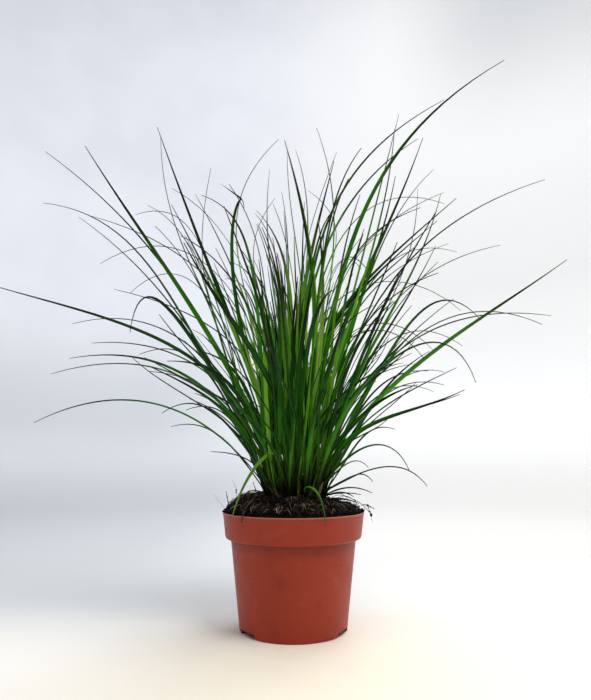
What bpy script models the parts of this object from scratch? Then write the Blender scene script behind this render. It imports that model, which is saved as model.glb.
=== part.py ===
"""Potted ornamental grass clump: a tufted grass in a 13 cm nursery pot.

The pot stands on the floor at z = 0 with its axis on the Z axis, and the plant's
front faces -Y. Sizes below are in millimetres and degrees, and every mesh is turned
to metres as it is finished.

The plant is a clump of tillers. Each tiller is one grown piece: a short sheath at
the crown that opens into up to four long, narrow leaves. A leaf's course is a cubic
curve from the top of its sheath to its tip, and its three-sided section narrows to a
point.
"""

import math
import random
from dataclasses import dataclass, replace
from itertools import product

import bmesh
import bpy
from mathutils import Matrix, Vector

MM = 0.001
FIT_GAP = 0.3              # what two pieces that touch keep between them

# Pot
POT_HEIGHT = 101.0
RIM_RADIUS = 65.0
RIM_LIP_RADIUS = 65.4      # thin bead along the rim's top edge
BAND_FOOT_RADIUS = 62.2    # the rim band narrows a little to here
BAND_FOOT_Z = 78.3
BODY_TOP_RADIUS = 57.2
BASE_RADIUS = 48.2
WALL = 1.8
SHOULDER_RISE = 1.2        # the wall's inside steps out this far above the band's foot
SHOULDER_DEPTH = 1.4       # and slopes out over this height
BAND_ROUND = 1.6           # rounding at the band's foot
LIP_HEIGHT = 2.0           # of the bead along the rim
LIP_ROUND = 0.8
RIM_ROUND = 0.6            # inside the rim
BASE_ROUND = 0.8
FOOT_WALL = 1.0            # the wall is this much thicker at its foot
FLOOR_BOTTOM = 5.0
FLOOR_TOP = 6.6
POT_SIDES = 36             # the soil has as many, so that it follows the wall
FOOT_BEARING = -85.0       # middle of the foot that faces the front
FOOT_COUNT = 3
NOTCH_SPAN = 26.0          # width of the opening between two feet
NOTCH_TOP_SHARE = 0.84     # it narrows to this share at its top
NOTCH_HEIGHT = 4.0
NOTCH_DEPTH = 10.0
DRAIN_COUNT = 6
DRAIN_RADIUS = 4.0
DRAIN_CIRCLE = 33.0
DRAIN_SIDES = 10
DRAIN_DEPTH = 4.0

# Soil
SOIL_TOP = 116.0           # the root ball is heaped up around the crown
SOIL_EDGE = 101.5
SOIL_EDGE_DROP = 1.5       # it meets the wall this far below its edge
HEAP = ((59.5, 105.0), (54.0, 109.5), (46.0, 113.5))   # radius and height on its slope
HEAP_SHOULDER = 38.0       # it falls away outside this radius
SOIL_TILT = 2.0            # the heap stands higher on the left
SOIL_ROUGHNESS = 1.3
PIT_RADIUS = 31.5          # the crown stands in a shallow pit of the soil solid
PIT_LIP = 1.0
PIT_FLOOR = 106.0

# Crown
CROWN_X = 2.0
TILLER_COUNT = 54
CROWN_RADIUS = 26.0
FIRST_FOOT = 0.4           # how far out of the middle the spiral starts, in steps
GOLDEN_ANGLE = 137.508
SHEATH_RADIUS = 1.9
SHEATH_SPLAY = 13.0        # lean of the outermost sheaths
SHEATH_FOOT = PIT_FLOOR + FIT_GAP
OUTER_RING = 20.0          # feet past this radius carry short sheaths
INNER_RING = 12.0
SHEATH_HEIGHTS = {"outer": 13.0, "middle": 24.0, "inner": 35.0}

# Leaves
LEAVES_EACH = 4            # a sheath's top has this many sectors, one for each leaf
SECTOR = 360 / LEAVES_EACH
TRACED_STEPS = (0.08, 0.19, 0.33, 0.49, 0.66, 0.84)
FILLING_STEPS = (0.13, 0.34, 0.57, 0.8)
KEEL_BASE = 0.35           # a leaf's thickness: this plus a share of its width
KEEL_SHARE = 0.2
ROOT_HANDLE = 1.25         # the root end of a leaf is a little straighter than an arc
LEAST_BEND = 2.0           # between a leaf's lean at its root and its nod at its tip
MOST_BEND = 200.0
DRIFT_CARRY = 0.6          # how much of its drift a leaf still has at its tip
HALF_WIDTH = 277.0         # no tip reaches further than this to the pot's left or right
HALF_DEPTH = 204.0         # or to its front or back, so the clump spreads evenly round it
UNFOLD_SHARE = 0.75        # a blade rolls to its own turn over this part of its length
BLADE_ROOT_SHARE = 0.35    # a blade's width at its root
BLADE_OPENING = 2.2        # how fast it then widens
TAPER_START = 2.5          # the higher, the nearer the tip it starts to narrow
TAPER_END = 0.9            # the lower, the blunter the tip
LOW_TIP = 200.0            # leaves whose tips hang lower grow from the crown's edge
HIGH_TIP = 450.0           # leaves whose tips stand higher grow near its middle
ROOT_INNERMOST = 4.0
ROOT_PER_REACH = 0.05      # the further a leaf reaches, the further out it grows
ROOT_PER_DROP = 0.03       # and so too the lower its tip is

# Room that leaves keep
SAMPLE_STEP = 1.5          # spacing of the points that keep leaves apart
WIDE_BLADE = 3.2           # wider blades have more points across
SHEATH_WAYS = range(0, 360, 45)
CLEARANCE = 1.6
CROWN_CLEARANCE = 1.25     # within the crown, where sheaths stand close
CROWN_LENGTH = 18.0
SIBLING_SPLIT = 20.0       # leaves of one tiller part within this length
SIBLING_LENGTH = 40.0      # and stay this close a little further
SOIL_MARGIN = 2.0
RIM_MARGIN = 1.5
FLOOR_MARGIN = 4.0
ROOT_LENGTH = 3.0          # a leaf may be lower than those margins this near its sheath
NEAREST_TRIED = 9          # how many tillers a traced leaf tries
CROWDING = 3.0             # how much further off a tiller seems with each leaf on it
SWAYS = (0, 4, -4, 8, -8, 12, -12, 17, -17, 22, -22, 28, -28)
TILTS = (0, 3, -3, 6, -6)
DRAWS = 60
FILLING_WIDTHS = ((2.6, 4.6), (2.4, 4.2), (2.0, 3.6), (1.8, 3.0), (1.6, 2.6))   # by round
FILLING_TURN = 60.0
SIDE_SHARE = 0.68          # how much of its reach a filling leaf keeps straight to a side
SEED = 11


@dataclass(frozen=True)
class Leaf:
    """One leaf, given by where its tip is and by the way it gets there."""

    bearing: float         # compass way it leans: 0 is right, 90 back, 180 left
    reach: float           # from the crown's middle to the tip, along the bearing
    height: float          # of the tip above the floor
    lean: float            # from upright, at the root
    nod: float             # from upright, at the tip: past 90 it hangs down
    drift: float           # how far the tip also stands back, or forward if negative
    width: float
    turn: float = 0.0      # roll of the blade about its own line, at mid-length
    sway: float = 0.0      # how far its middle bows to the back
    traced: bool = True


# Leaves that show in the outline, read from the photograph by hand
LEFT_HIGH = (
    Leaf(190, 245, 440, 25, 55, 0, 3.2, 30),
    Leaf(205, 205, 420, 25, 35, 0, 5.0, 70),
    Leaf(172, 280, 425, 35, 80, 0, 4.0, -30),
    Leaf(175, 230, 400, 30, 55, 0, 3.0, 40),
    Leaf(165, 240, 420, 0, 70, 0, 3.0, 20),
    Leaf(155, 260, 380, 5, 110, 0, 2.2, 15),
    Leaf(150, 230, 345, 20, 120, 0, 2.2, -15),
    Leaf(150, 170, 465, 5, 55, 0, 2.4, 20),
    Leaf(165, 170, 425, 40, 60, 0, 2.8, 35),
    Leaf(152, 220, 440, 35, 95, 0, 2.0, 20),
    Leaf(200, 125, 385, 15, 30, 0, 3.6, 60),
)
LEFT_LOW = (
    Leaf(170, 195, 325, -5, 75, 0, 3.0, 25),
    Leaf(215, 165, 250, 40, 175, 0, 3.6, 30),
    Leaf(165, 255, 295, 20, 100, 0, 2.6, -20),
    Leaf(192, 295, 303, 15, 75, 0, 4.6, 45),
    Leaf(180, 200, 260, 20, 95, 0, 2.8, 20),
    Leaf(205, 205, 230, 30, 105, 0, 3.4, 30),
    Leaf(172, 255, 235, 25, 105, 0, 2.8, -25),
    Leaf(190, 235, 180, 35, 120, 0, 3.0, 20),
    Leaf(220, 140, 185, 40, 125, 0, 2.6, 15),
    Leaf(170, 125, 180, 35, 105, 0, 2.6, -15),
    Leaf(195, 80, 155, 10, 90, 0, 2.4, 10),
)
UPRIGHT = (
    Leaf(180, 130, 455, 20, 20, -60, 4.6, 65),
    Leaf(180, 165, 535, 25, 5, 90, 2.6, 30),
    Leaf(170, 110, 515, 30, -10, 110, 2.6, 30),
    Leaf(170, 20, 520, 12, -45, 66, 2.6, 15),
    Leaf(190, 50, 375, 35, 155, -50, 4.4, 60),
    Leaf(180, 30, 475, 5, -5, 60, 2.6, 40),
    Leaf(170, 25, 460, 0, -35, 96, 2.6, 25),
    Leaf(180, 10, 430, -15, 15, -80, 4.8, 65),
    Leaf(180, 10, 515, -5, 0, 90, 2.6, 30),
    Leaf(0, 0, 495, 0, -15, 50, 2.4, 35),
    Leaf(0, 25, 535, 10, -15, 70, 2.6, 30),
    Leaf(0, 50, 515, 0, 20, 90, 2.4, 25),
    Leaf(0, 35, 415, -5, 15, -70, 4.4, -65),
    Leaf(0, 15, 475, -10, -50, 110, 2.2, 20),
)
RIGHT_HIGH = (
    Leaf(345, 210, 530, 5, 65, 0, 5.0, -70),
    Leaf(0, 175, 565, -5, 60, 60, 3.6, -60),
    Leaf(10, 115, 520, 15, 15, 0, 3.6, -55),
    Leaf(350, 95, 455, 15, 5, -40, 3.2, -50),
    Leaf(345, 130, 460, 10, 20, 0, 5.0, -70),
    Leaf(20, 150, 510, -5, 50, 0, 3.8, -60),
    Leaf(25, 180, 485, 20, 45, 0, 2.6, 30),
    Leaf(30, 210, 470, -5, 65, 0, 2.8, -30),
    Leaf(30, 210, 455, -5, 95, 0, 2.6, 15),
    Leaf(335, 160, 380, -15, 55, 0, 4.0, -55),
    Leaf(350, 145, 405, 20, 15, 0, 3.6, -50),
    Leaf(10, 155, 480, 25, 5, 90, 2.0, 25),
    Leaf(5, 270, 445, 10, 70, 0, 3.2, -35),
    Leaf(35, 235, 415, 0, 65, 0, 2.4, 20),
    Leaf(20, 255, 395, 15, 75, 0, 2.8, -25),
    Leaf(32, 235, 400, 10, 95, 0, 2.4, 20),
)
RIGHT_LOW = (
    Leaf(350, 255, 330, 35, 55, 0, 5.0, -60),
    Leaf(28, 220, 320, -20, 120, 0, 2.4, 15),
    Leaf(335, 175, 265, 35, 145, 0, 3.2, -25),
    Leaf(10, 280, 300, 20, 95, 0, 3.2, -30),
    Leaf(345, 225, 265, 25, 120, 0, 2.6, 20),
    Leaf(330, 170, 210, 25, 165, 0, 2.8, -20),
    Leaf(20, 195, 270, 15, 120, 0, 2.6, 15),
    Leaf(40, 220, 280, -5, 120, 0, 2.4, -15),
    Leaf(335, 125, 235, -15, 150, 0, 2.4, 15),
    Leaf(45, 215, 265, 25, 80, 0, 2.4, 20),
    Leaf(20, 170, 240, 45, 100, 0, 2.4, 15),
    Leaf(325, 125, 210, 40, 80, 0, 3.4, -50),
    Leaf(35, 195, 225, 35, 105, 0, 2.4, 15),
    Leaf(340, 95, 175, 40, 110, 0, 2.8, -20),
    Leaf(320, 120, 140, 40, 155, 0, 2.8, -15),
    Leaf(345, 120, 125, 60, 145, 0, 2.8, 10),
    Leaf(320, 85, 130, 80, 140, 0, 2.4, 10),
    Leaf(30, 85, 140, 45, 135, 0, 2.4, 10),
)
# Two wilted leaves hang over the rim at the front
OVER_RIM = (
    Leaf(228, 84, 93, -25, 175, 0, 3.6, 20),
    Leaf(298, 70, 92, -20, 175, 0, 2.6, 10),
)
TRACED_LEAVES = OVER_RIM + LEFT_LOW + RIGHT_LOW + LEFT_HIGH + RIGHT_HIGH + UPRIGHT


@dataclass(frozen=True)
class Habit:
    """Ranges that the filling leaves of one ring of the crown are drawn from."""

    spread: float          # either way from the tiller's own bearing
    heights: tuple
    reaches: tuple
    leans: tuple
    nods: tuple


HABITS = {
    "inner": Habit(110, (290, 450), (10, 100), (-3, 12), (5, 45)),
    "middle": Habit(50, (230, 430), (45, 180), (3, 22), (20, 90)),
    "outer": Habit(28, (195, 385), (80, 230), (6, 32), (45, 120)),
}


@dataclass
class Tiller:
    """One shoot: its sheath, and the leaf that each sector of the sheath opens into."""

    foot: Vector
    top: Vector
    ring: str
    turn: float            # bearing at which the first sector starts
    leaves: list           # None where a sector has no leaf

    def facing(self, sector: int) -> float:
        """Bearing of a sector's middle."""
        return self.turn + (sector + 0.5) * SECTOR

    def root(self, sector: int) -> Vector:
        """Middle of a sector, where its leaf starts."""
        outward = SHEATH_RADIUS * 2 / 3 * math.cos(math.radians(SECTOR / 2))
        return self.top + compass(self.facing(sector)) * outward

    def free_sector(self, bearing: float) -> int | None:
        """Number of the free sector that best faces a bearing, if one is free."""
        free = [n for n, leaf in enumerate(self.leaves) if leaf is None]
        return min(free, key=lambda n: abs(shorter_turn(bearing, self.facing(n))), default=None)


def compass(bearing: float) -> Vector:
    """Level unit vector that points along a bearing."""
    angle = math.radians(bearing)
    return Vector((math.cos(angle), math.sin(angle), 0.0))


def shorter_turn(start: float, end: float) -> float:
    """Degrees from one bearing to another, the shorter way round."""
    return (end - start + 180) % 360 - 180


def leaning(bearing: float, lean: float) -> Vector:
    """Unit vector that leans from upright towards a bearing."""
    angle = math.radians(lean)
    return compass(bearing) * math.sin(angle) + Vector((0, 0, math.cos(angle)))


# ---------------------------------------------------------------- crown and courses
def crown_tillers() -> list:
    """Feet and sheath tops of the tillers, set out on a sunflower spiral."""
    tillers = []
    for number in range(TILLER_COUNT):
        radius = CROWN_RADIUS * math.sqrt((number + FIRST_FOOT) / TILLER_COUNT)
        bearing = number * GOLDEN_ANGLE
        foot = Vector((CROWN_X, 0, SHEATH_FOOT)) + compass(bearing) * radius
        ring = "inner" if radius < INNER_RING else "middle"
        ring = "outer" if radius > OUTER_RING else ring
        splay = SHEATH_SPLAY * radius / CROWN_RADIUS
        rise = leaning(bearing, splay) * SHEATH_HEIGHTS[ring]
        turn = bearing - SECTOR / 2
        tillers.append(Tiller(foot, foot + rise, ring, turn, [None] * LEAVES_EACH))
    return tillers


def wanted_root(leaf: Leaf) -> Vector:
    """Where a leaf would leave the crown if a sheath stood exactly there."""
    if leaf.height < LOW_TIP:
        radius, height = CROWN_RADIUS, SHEATH_HEIGHTS["outer"]
    else:
        drop = max(0.0, HIGH_TIP - leaf.height)
        radius = ROOT_INNERMOST + ROOT_PER_REACH * leaf.reach + ROOT_PER_DROP * drop
        height = SHEATH_HEIGHTS["middle" if radius > INNER_RING else "inner"]
    middle = Vector((CROWN_X, 0, SHEATH_FOOT + height))
    return middle + compass(leaf.bearing) * radius


def course(leaf: Leaf, root: Vector) -> tuple:
    """Four control points of a leaf's cubic, its handles as long as an arc's."""
    middle = Vector((CROWN_X, 0, 0))
    tip = middle + compass(leaf.bearing) * leaf.reach + Vector((0, leaf.drift, leaf.height))
    tip.x = max(-HALF_WIDTH, min(HALF_WIDTH, tip.x))
    tip.y = max(-HALF_DEPTH, min(HALF_DEPTH, tip.y))
    chord = (tip - root).length
    bend = math.radians(min(MOST_BEND, max(LEAST_BEND, abs(leaf.nod - leaf.lean))))
    handle = chord * 2 / 3 * math.tan(bend / 4) / math.sin(bend / 2)
    back = Vector((0, leaf.sway, 0))
    drift = Vector((0, DRIFT_CARRY * leaf.drift / chord, 0))
    first = root + leaning(leaf.bearing, leaf.lean) * handle * ROOT_HANDLE + back
    second = tip - (leaning(leaf.bearing, leaf.nod) + drift) * handle + back
    return root, first, second, tip


def course_point(controls: tuple, share: float) -> Vector:
    """Point at a share of the way along a cubic."""
    rest = 1 - share
    root, first, second, tip = controls
    near = root * rest ** 3 + first * (3 * share * rest ** 2)
    return near + second * (3 * share ** 2 * rest) + tip * share ** 3


def course_heading(controls: tuple, share: float) -> Vector:
    """Unit tangent at a share of the way along a cubic."""
    rest = 1 - share
    root, first, second, tip = controls
    slope = (first - root) * rest ** 2 + (second - first) * (2 * share * rest)
    return (slope + (tip - second) * share ** 2).normalized()


def blade_width(leaf: Leaf, share: float) -> float:
    """A blade widens from its sheath, then narrows to a fine tip."""
    opened = min(1.0, BLADE_ROOT_SHARE + BLADE_OPENING * share)
    return leaf.width * opened * (1 - share ** TAPER_START) ** TAPER_END


def section(leaf: Leaf, controls: tuple, share: float, start: float) -> tuple:
    """Three corners of a leaf's section: both edges, then its ridge.

    At its root the blade faces along start, the bearing of its sector. From there it
    rolls the shorter way to its own turn, whichever side its ridge comes to be on.
    """
    heading = course_heading(controls, share)
    level = compass(leaf.bearing + 90)
    across = (level - heading * level.dot(heading)).normalized()
    upper = heading.cross(across)
    first = shorter_turn(leaf.bearing, start)
    last = leaf.turn + 180 * round((first - leaf.turn) / 180)
    roll = math.radians(first + (last - first) * min(1.0, share / UNFOLD_SHARE))
    across, upper = (across * math.cos(roll) + upper * math.sin(roll),
                     upper * math.cos(roll) - across * math.sin(roll))
    middle = course_point(controls, share)
    width = blade_width(leaf, share)
    ridge = upper * (KEEL_BASE + KEEL_SHARE * width)
    return middle - across * width / 2, middle + across * width / 2, middle + ridge


# ---------------------------------------------------------------- keeping leaves apart
class Thicket:
    """Remembers where leaves already are, so that the next one stays clear of them."""

    def __init__(self) -> None:
        self.cells = {}

    @staticmethod
    def cell(point: Vector) -> tuple:
        """Grid cell that a point lies in."""
        return tuple(math.floor(value / CLEARANCE) for value in point)

    def add(self, samples: list, tiller: int) -> None:
        """Take in a leaf's or a sheath's points, each with its length from the root."""
        for point, length in samples:
            self.cells.setdefault(self.cell(point), []).append((point, tiller, length))

    def is_clear(self, samples: list, tiller: int) -> bool:
        """True where no point of another leaf is nearer than the clearance."""
        for point, length in samples:
            home = self.cell(point)
            for step in product((-1, 0, 1), repeat=3):
                near = tuple(a + b for a, b in zip(home, step))
                for other, owner, other_length in self.cells.get(near, ()):
                    if owner == tiller and min(length, other_length) < SIBLING_SPLIT:
                        continue
                    near_root = SIBLING_LENGTH if owner == tiller else CROWN_LENGTH
                    crowded = min(length, other_length) < near_root
                    if (other - point).length < (CROWN_CLEARANCE if crowded else CLEARANCE):
                        return False
        return True


def ground_below(radius: float) -> float:
    """Height that a leaf stays above at a distance from the pot's axis."""
    if radius > RIM_LIP_RADIUS + RIM_MARGIN:
        return FLOOR_MARGIN
    slope = (radius - HEAP_SHOULDER) / (RIM_LIP_RADIUS - HEAP_SHOULDER)
    return SOIL_TOP + SOIL_MARGIN - max(0.0, slope) * (SOIL_TOP - SOIL_EDGE)


def leaf_samples(leaf: Leaf, tiller: Tiller, sector: int) -> list:
    """Points all over a leaf's faceted solid, each with its length from the root."""
    steps = TRACED_STEPS if leaf.traced else FILLING_STEPS
    controls, start = course(leaf, tiller.root(sector)), tiller.facing(sector)
    edges = (start - SECTOR / 2, start + SECTOR / 2)
    rings = [(*(tiller.top + compass(edge) * SHEATH_RADIUS for edge in edges), tiller.top)]
    rings += [section(leaf, controls, step, start) for step in steps] + [(controls[3],) * 3]
    samples, length = [], 0.0
    for lower, upper in zip(rings, rings[1:]):
        span = (upper[2] - lower[2]).length
        count = max(1, round(span / SAMPLE_STEP))
        for number in range(1, count + 1):
            left, right, ridge = (a.lerp(b, number / count) for a, b in zip(lower, upper))
            here = length + span * number / count
            middle = left.lerp(right, 0.5)
            samples += [(point, here) for point in (left, right, ridge, middle)]
            if (right - left).length > WIDE_BLADE:
                samples += [(left.lerp(right, share), here) for share in (0.25, 0.75)]
        length += span
    return samples


def stays_above_ground(samples: list) -> bool:
    """True where a leaf keeps off the soil, the pot and the floor."""
    return all(point.z > ground_below(math.hypot(point.x, point.y))
               for point, length in samples if length > ROOT_LENGTH)


def sheath_samples(tiller: Tiller) -> list:
    """Points around a sheath."""
    count = round((tiller.top - tiller.foot).length / SAMPLE_STEP)
    return [(tiller.foot.lerp(tiller.top, number / count) + compass(bearing) * SHEATH_RADIUS, 0.0)
            for number in range(count + 1) for bearing in SHEATH_WAYS]


def nearest_tiller(tillers: list, leaf: Leaf, rank: int) -> int:
    """Number of a tiller with room for a leaf; rank 0 is the one best placed."""
    root = wanted_root(leaf)
    open_ones = [n for n, tiller in enumerate(tillers) if None in tiller.leaves]
    open_ones.sort(key=lambda n: (tillers[n].top - root).length
                   - CROWDING * tillers[n].leaves.count(None))
    return open_ones[min(rank, len(open_ones) - 1)]


def place_traced(tillers: list, thicket: Thicket, leaf: Leaf) -> None:
    """Grow a traced leaf from the nearest tiller that lets it hang clear."""
    for rank, tilt, sway in product(range(NEAREST_TRIED), TILTS, SWAYS):
        number = nearest_tiller(tillers, leaf, rank)
        sector = tillers[number].free_sector(leaf.bearing)
        tried = replace(leaf, lean=leaf.lean + tilt, sway=sway)
        samples = leaf_samples(tried, tillers[number], sector)
        if stays_above_ground(samples) and thicket.is_clear(samples, number):
            tillers[number].leaves[sector] = tried
            thicket.add(samples, number)
            return
    raise ValueError(f"no room for the leaf with its tip at {leaf.bearing} degrees")


def drawn_leaf(tiller: Tiller, luck: random.Random, widths: tuple) -> Leaf:
    """A leaf of the clump's inside or back, drawn to suit its tiller's place."""
    outward = tiller.foot - Vector((CROWN_X, 0, SHEATH_FOOT))
    habit = HABITS[tiller.ring]
    bearing = math.degrees(math.atan2(outward.y, outward.x))
    bearing += luck.uniform(-habit.spread, habit.spread)
    height, reach = luck.uniform(*habit.heights), luck.uniform(*habit.reaches)
    reach *= 1 - (1 - SIDE_SHARE) * abs(compass(bearing).x)
    lean, nod = luck.uniform(*habit.leans), luck.uniform(*habit.nods)
    turn, width = luck.uniform(-FILLING_TURN, FILLING_TURN), luck.uniform(*widths)
    return Leaf(bearing, reach, height, lean, nod, 0, width, turn, traced=False)


def fill_tiller(tillers: list, number: int, thicket: Thicket, luck: random.Random,
                widths: tuple) -> None:
    """Draw one more leaf for a tiller, if one fits in."""
    tiller = tillers[number]
    for _ in range(DRAWS):
        leaf = drawn_leaf(tiller, luck, widths)
        sector = tiller.free_sector(leaf.bearing)
        samples = leaf_samples(leaf, tiller, sector)
        if stays_above_ground(samples) and thicket.is_clear(samples, number):
            tiller.leaves[sector] = leaf
            thicket.add(samples, number)
            return


def grown_tillers() -> list:
    """All tillers with their leaves: the traced ones first, then the filling ones."""
    tillers, thicket, luck = crown_tillers(), Thicket(), random.Random(SEED)
    for number, tiller in enumerate(tillers):
        thicket.add(sheath_samples(tiller), number)
    for leaf in TRACED_LEAVES:
        place_traced(tillers, thicket, leaf)
    for widths in FILLING_WIDTHS:
        for number, tiller in enumerate(tillers):
            if None in tiller.leaves:
                fill_tiller(tillers, number, thicket, luck, widths)
    return tillers


# ---------------------------------------------------------------- tiller solids
def grow_leaf(bm: bmesh.types.BMesh, face: bmesh.types.BMFace, tiller: Tiller,
              sector: int) -> None:
    """Extrude a face, one sector of the sheath's top, along its leaf's course."""
    leaf, start = tiller.leaves[sector], tiller.facing(sector)
    centre = min(range(3), key=lambda n: (face.verts[n].co - tiller.top).length)
    controls = course(leaf, tiller.root(sector))
    steps = TRACED_STEPS if leaf.traced else FILLING_STEPS
    for step in steps:
        face = bmesh.ops.extrude_discrete_faces(bm, faces=[face])["faces"][0]
        left, right, ridge = section(leaf, controls, step, start)
        for offset, corner in enumerate((ridge, left, right)):
            face.verts[(centre + offset) % 3].co = corner
    face = bmesh.ops.extrude_discrete_faces(bm, faces=[face])["faces"][0]
    bmesh.ops.pointmerge(bm, verts=face.verts[:], merge_co=controls[3])


def make_tiller(name: str, tiller: Tiller, material: bpy.types.Material) -> bpy.types.Object:
    """One shoot: a sheath whose top opens into its leaves."""
    height = (tiller.top - tiller.foot).z
    bm = bmesh.new()
    place = Matrix.Translation((tiller.foot.x, tiller.foot.y, tiller.foot.z + height / 2))
    bmesh.ops.create_cone(bm, cap_ends=True, cap_tris=True, segments=LEAVES_EACH,
                          radius1=SHEATH_RADIUS, radius2=SHEATH_RADIUS, depth=height,
                          matrix=place @ Matrix.Rotation(math.radians(tiller.turn), 4, "Z"))
    top_verts = [v for v in bm.verts if v.co.z > tiller.foot.z + height / 2]
    shift = Vector((tiller.top.x - tiller.foot.x, tiller.top.y - tiller.foot.y, 0))
    bmesh.ops.translate(bm, verts=top_verts, vec=shift)
    tops = [f for f in bm.faces if all(v in top_verts for v in f.verts)]
    for face in tops:
        outward = face.calc_center_median() - tiller.top
        bearing = math.degrees(math.atan2(outward.y, outward.x)) - tiller.turn
        sector = int((bearing % 360) // SECTOR)
        if tiller.leaves[sector] is not None:
            grow_leaf(bm, face, tiller, sector)
    return finished(bm, name, material)


# ---------------------------------------------------------------- pot and soil
def pot_profile() -> list:
    """Outline of the turned pot: floor, up the inside, over the rim, down the outside."""
    body_lean = (BODY_TOP_RADIUS - BASE_RADIUS) / BAND_FOOT_Z
    inner_floor = BASE_RADIUS + body_lean * FLOOR_TOP - WALL
    inner_top = BODY_TOP_RADIUS - WALL
    return [
        (0, FLOOR_TOP),
        (inner_floor, FLOOR_TOP),
        (inner_top, BAND_FOOT_Z + SHOULDER_RISE),
        (BAND_FOOT_RADIUS - WALL, BAND_FOOT_Z + SHOULDER_RISE + SHOULDER_DEPTH),
        (RIM_RADIUS - WALL, POT_HEIGHT - LIP_ROUND),
        (RIM_RADIUS - WALL + RIM_ROUND, POT_HEIGHT),
        (RIM_LIP_RADIUS - LIP_ROUND / 2, POT_HEIGHT),
        (RIM_LIP_RADIUS, POT_HEIGHT - LIP_ROUND),
        (RIM_RADIUS - LIP_ROUND / 4, POT_HEIGHT - LIP_HEIGHT),
        (BAND_FOOT_RADIUS, BAND_FOOT_Z + BAND_ROUND),
        (BAND_FOOT_RADIUS - BAND_ROUND / 2, BAND_FOOT_Z),
        (BODY_TOP_RADIUS, BAND_FOOT_Z - BAND_ROUND / 4),
        (BASE_RADIUS, BASE_ROUND),
        (BASE_RADIUS - BASE_ROUND, 0),
        (BASE_RADIUS - WALL - FOOT_WALL, 0),
        (BASE_RADIUS - WALL - FOOT_WALL - RIM_ROUND, FLOOR_BOTTOM),
        (0, FLOOR_BOTTOM),
    ]


def make_pot(material: bpy.types.Material, cutters: bpy.types.Collection) -> bpy.types.Object:
    """Turned pot with notches between its feet and drain holes in its floor."""
    bm = bmesh.new()
    points = [bm.verts.new((radius, 0, height)) for radius, height in pot_profile()]
    for upper, lower in zip(points, points[1:]):
        bm.edges.new((upper, lower))
    pot = finished(bm, "pot", material)
    screw = pot.modifiers.new("turn", "SCREW")
    screw.steps = POT_SIDES
    screw.render_steps = POT_SIDES
    screw.use_merge_vertices = True
    screw.merge_threshold = 0.00001
    screw.use_smooth_shade = True
    cutter = make_pot_cutter(cutters)
    cut = pot.modifiers.new("openings", "BOOLEAN")
    cut.operation = "DIFFERENCE"
    cut.object = cutter
    return pot


def make_pot_cutter(cutters: bpy.types.Collection) -> bpy.types.Object:
    """Notch wedges and drain holes, as one cutting body of separate shapes."""
    bm = bmesh.new()
    wall_middle = BASE_RADIUS - (WALL + FOOT_WALL) / 2
    for number in range(FOOT_COUNT):
        bearing = FOOT_BEARING + (number + 0.5) * 360 / FOOT_COUNT
        place = Matrix.Rotation(math.radians(bearing), 4, "Z") @ Matrix.Translation(
            (wall_middle, 0, 0))
        wedge = bmesh.ops.create_cube(bm, size=1.0, matrix=place @ Matrix.Diagonal(
            (NOTCH_DEPTH, NOTCH_SPAN, 2 * NOTCH_HEIGHT, 1)))
        upper = [v for v in wedge["verts"] if v.co.z > 0]
        bmesh.ops.scale(bm, verts=upper, vec=(1, NOTCH_TOP_SHARE, 1), space=place.inverted())
    for number in range(DRAIN_COUNT):
        middle = compass((number + 0.5) * 360 / DRAIN_COUNT) * DRAIN_CIRCLE
        middle.z = (FLOOR_TOP + FLOOR_BOTTOM) / 2
        bmesh.ops.create_cone(bm, cap_ends=True, segments=DRAIN_SIDES, radius1=DRAIN_RADIUS,
                              radius2=DRAIN_RADIUS, depth=DRAIN_DEPTH,
                              matrix=Matrix.Translation(middle))
    cutter = finished(bm, "pot_openings", None, cutters)
    cutter.hide_render = True
    cutter.display_type = "WIRE"
    return cutter


def soil_rings() -> list:
    """Rings of the soil solid, from its foot up the wall, over the heap, into the pit."""
    body_lean = (BODY_TOP_RADIUS - BASE_RADIUS) / BAND_FOOT_Z
    wall_gap = WALL + FIT_GAP * 1.4
    shoulder = BAND_FOOT_Z + SHOULDER_RISE
    return [
        (BASE_RADIUS + body_lean * FLOOR_TOP - wall_gap, FLOOR_TOP + FIT_GAP),
        (BODY_TOP_RADIUS - wall_gap, shoulder),
        (BAND_FOOT_RADIUS - wall_gap, shoulder + SHOULDER_DEPTH * 1.4),
        (RIM_RADIUS - wall_gap, SOIL_EDGE - SOIL_EDGE_DROP),
        *HEAP,
        (PIT_RADIUS + PIT_LIP, SOIL_TOP - PIT_LIP / 2),
        (PIT_RADIUS, PIT_FLOOR),
    ]


def make_soil(material: bpy.types.Material) -> bpy.types.Object:
    """Peat root ball: fills the pot, heaped and lumpy on top, with the crown's pit."""
    luck = random.Random(SEED)
    foot, wall, *rings = soil_rings()
    bm = bmesh.new()
    bmesh.ops.create_cone(bm, cap_ends=True, segments=POT_SIDES, radius1=foot[0],
                          radius2=wall[0], depth=wall[1] - foot[1],
                          matrix=Matrix.Translation((0, 0, (foot[1] + wall[1]) / 2)))
    face = max(bm.faces, key=lambda f: f.calc_center_median().z)
    for radius, height in rings:
        face = bmesh.ops.extrude_discrete_faces(bm, faces=[face])["faces"][0]
        heap = height > SOIL_EDGE
        for vert in face.verts:
            flat = Vector((vert.co.x, vert.co.y, 0)).normalized() * radius
            rough = luck.uniform(-1, 1) * SOIL_ROUGHNESS if heap else 0.0
            tilt = -SOIL_TILT * flat.x / RIM_RADIUS if heap else 0.0
            vert.co = flat + Vector((0, 0, height + rough + tilt))
    for vert in face.verts:
        vert.co.z = PIT_FLOOR
    return finished(bm, "soil", material)


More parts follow.
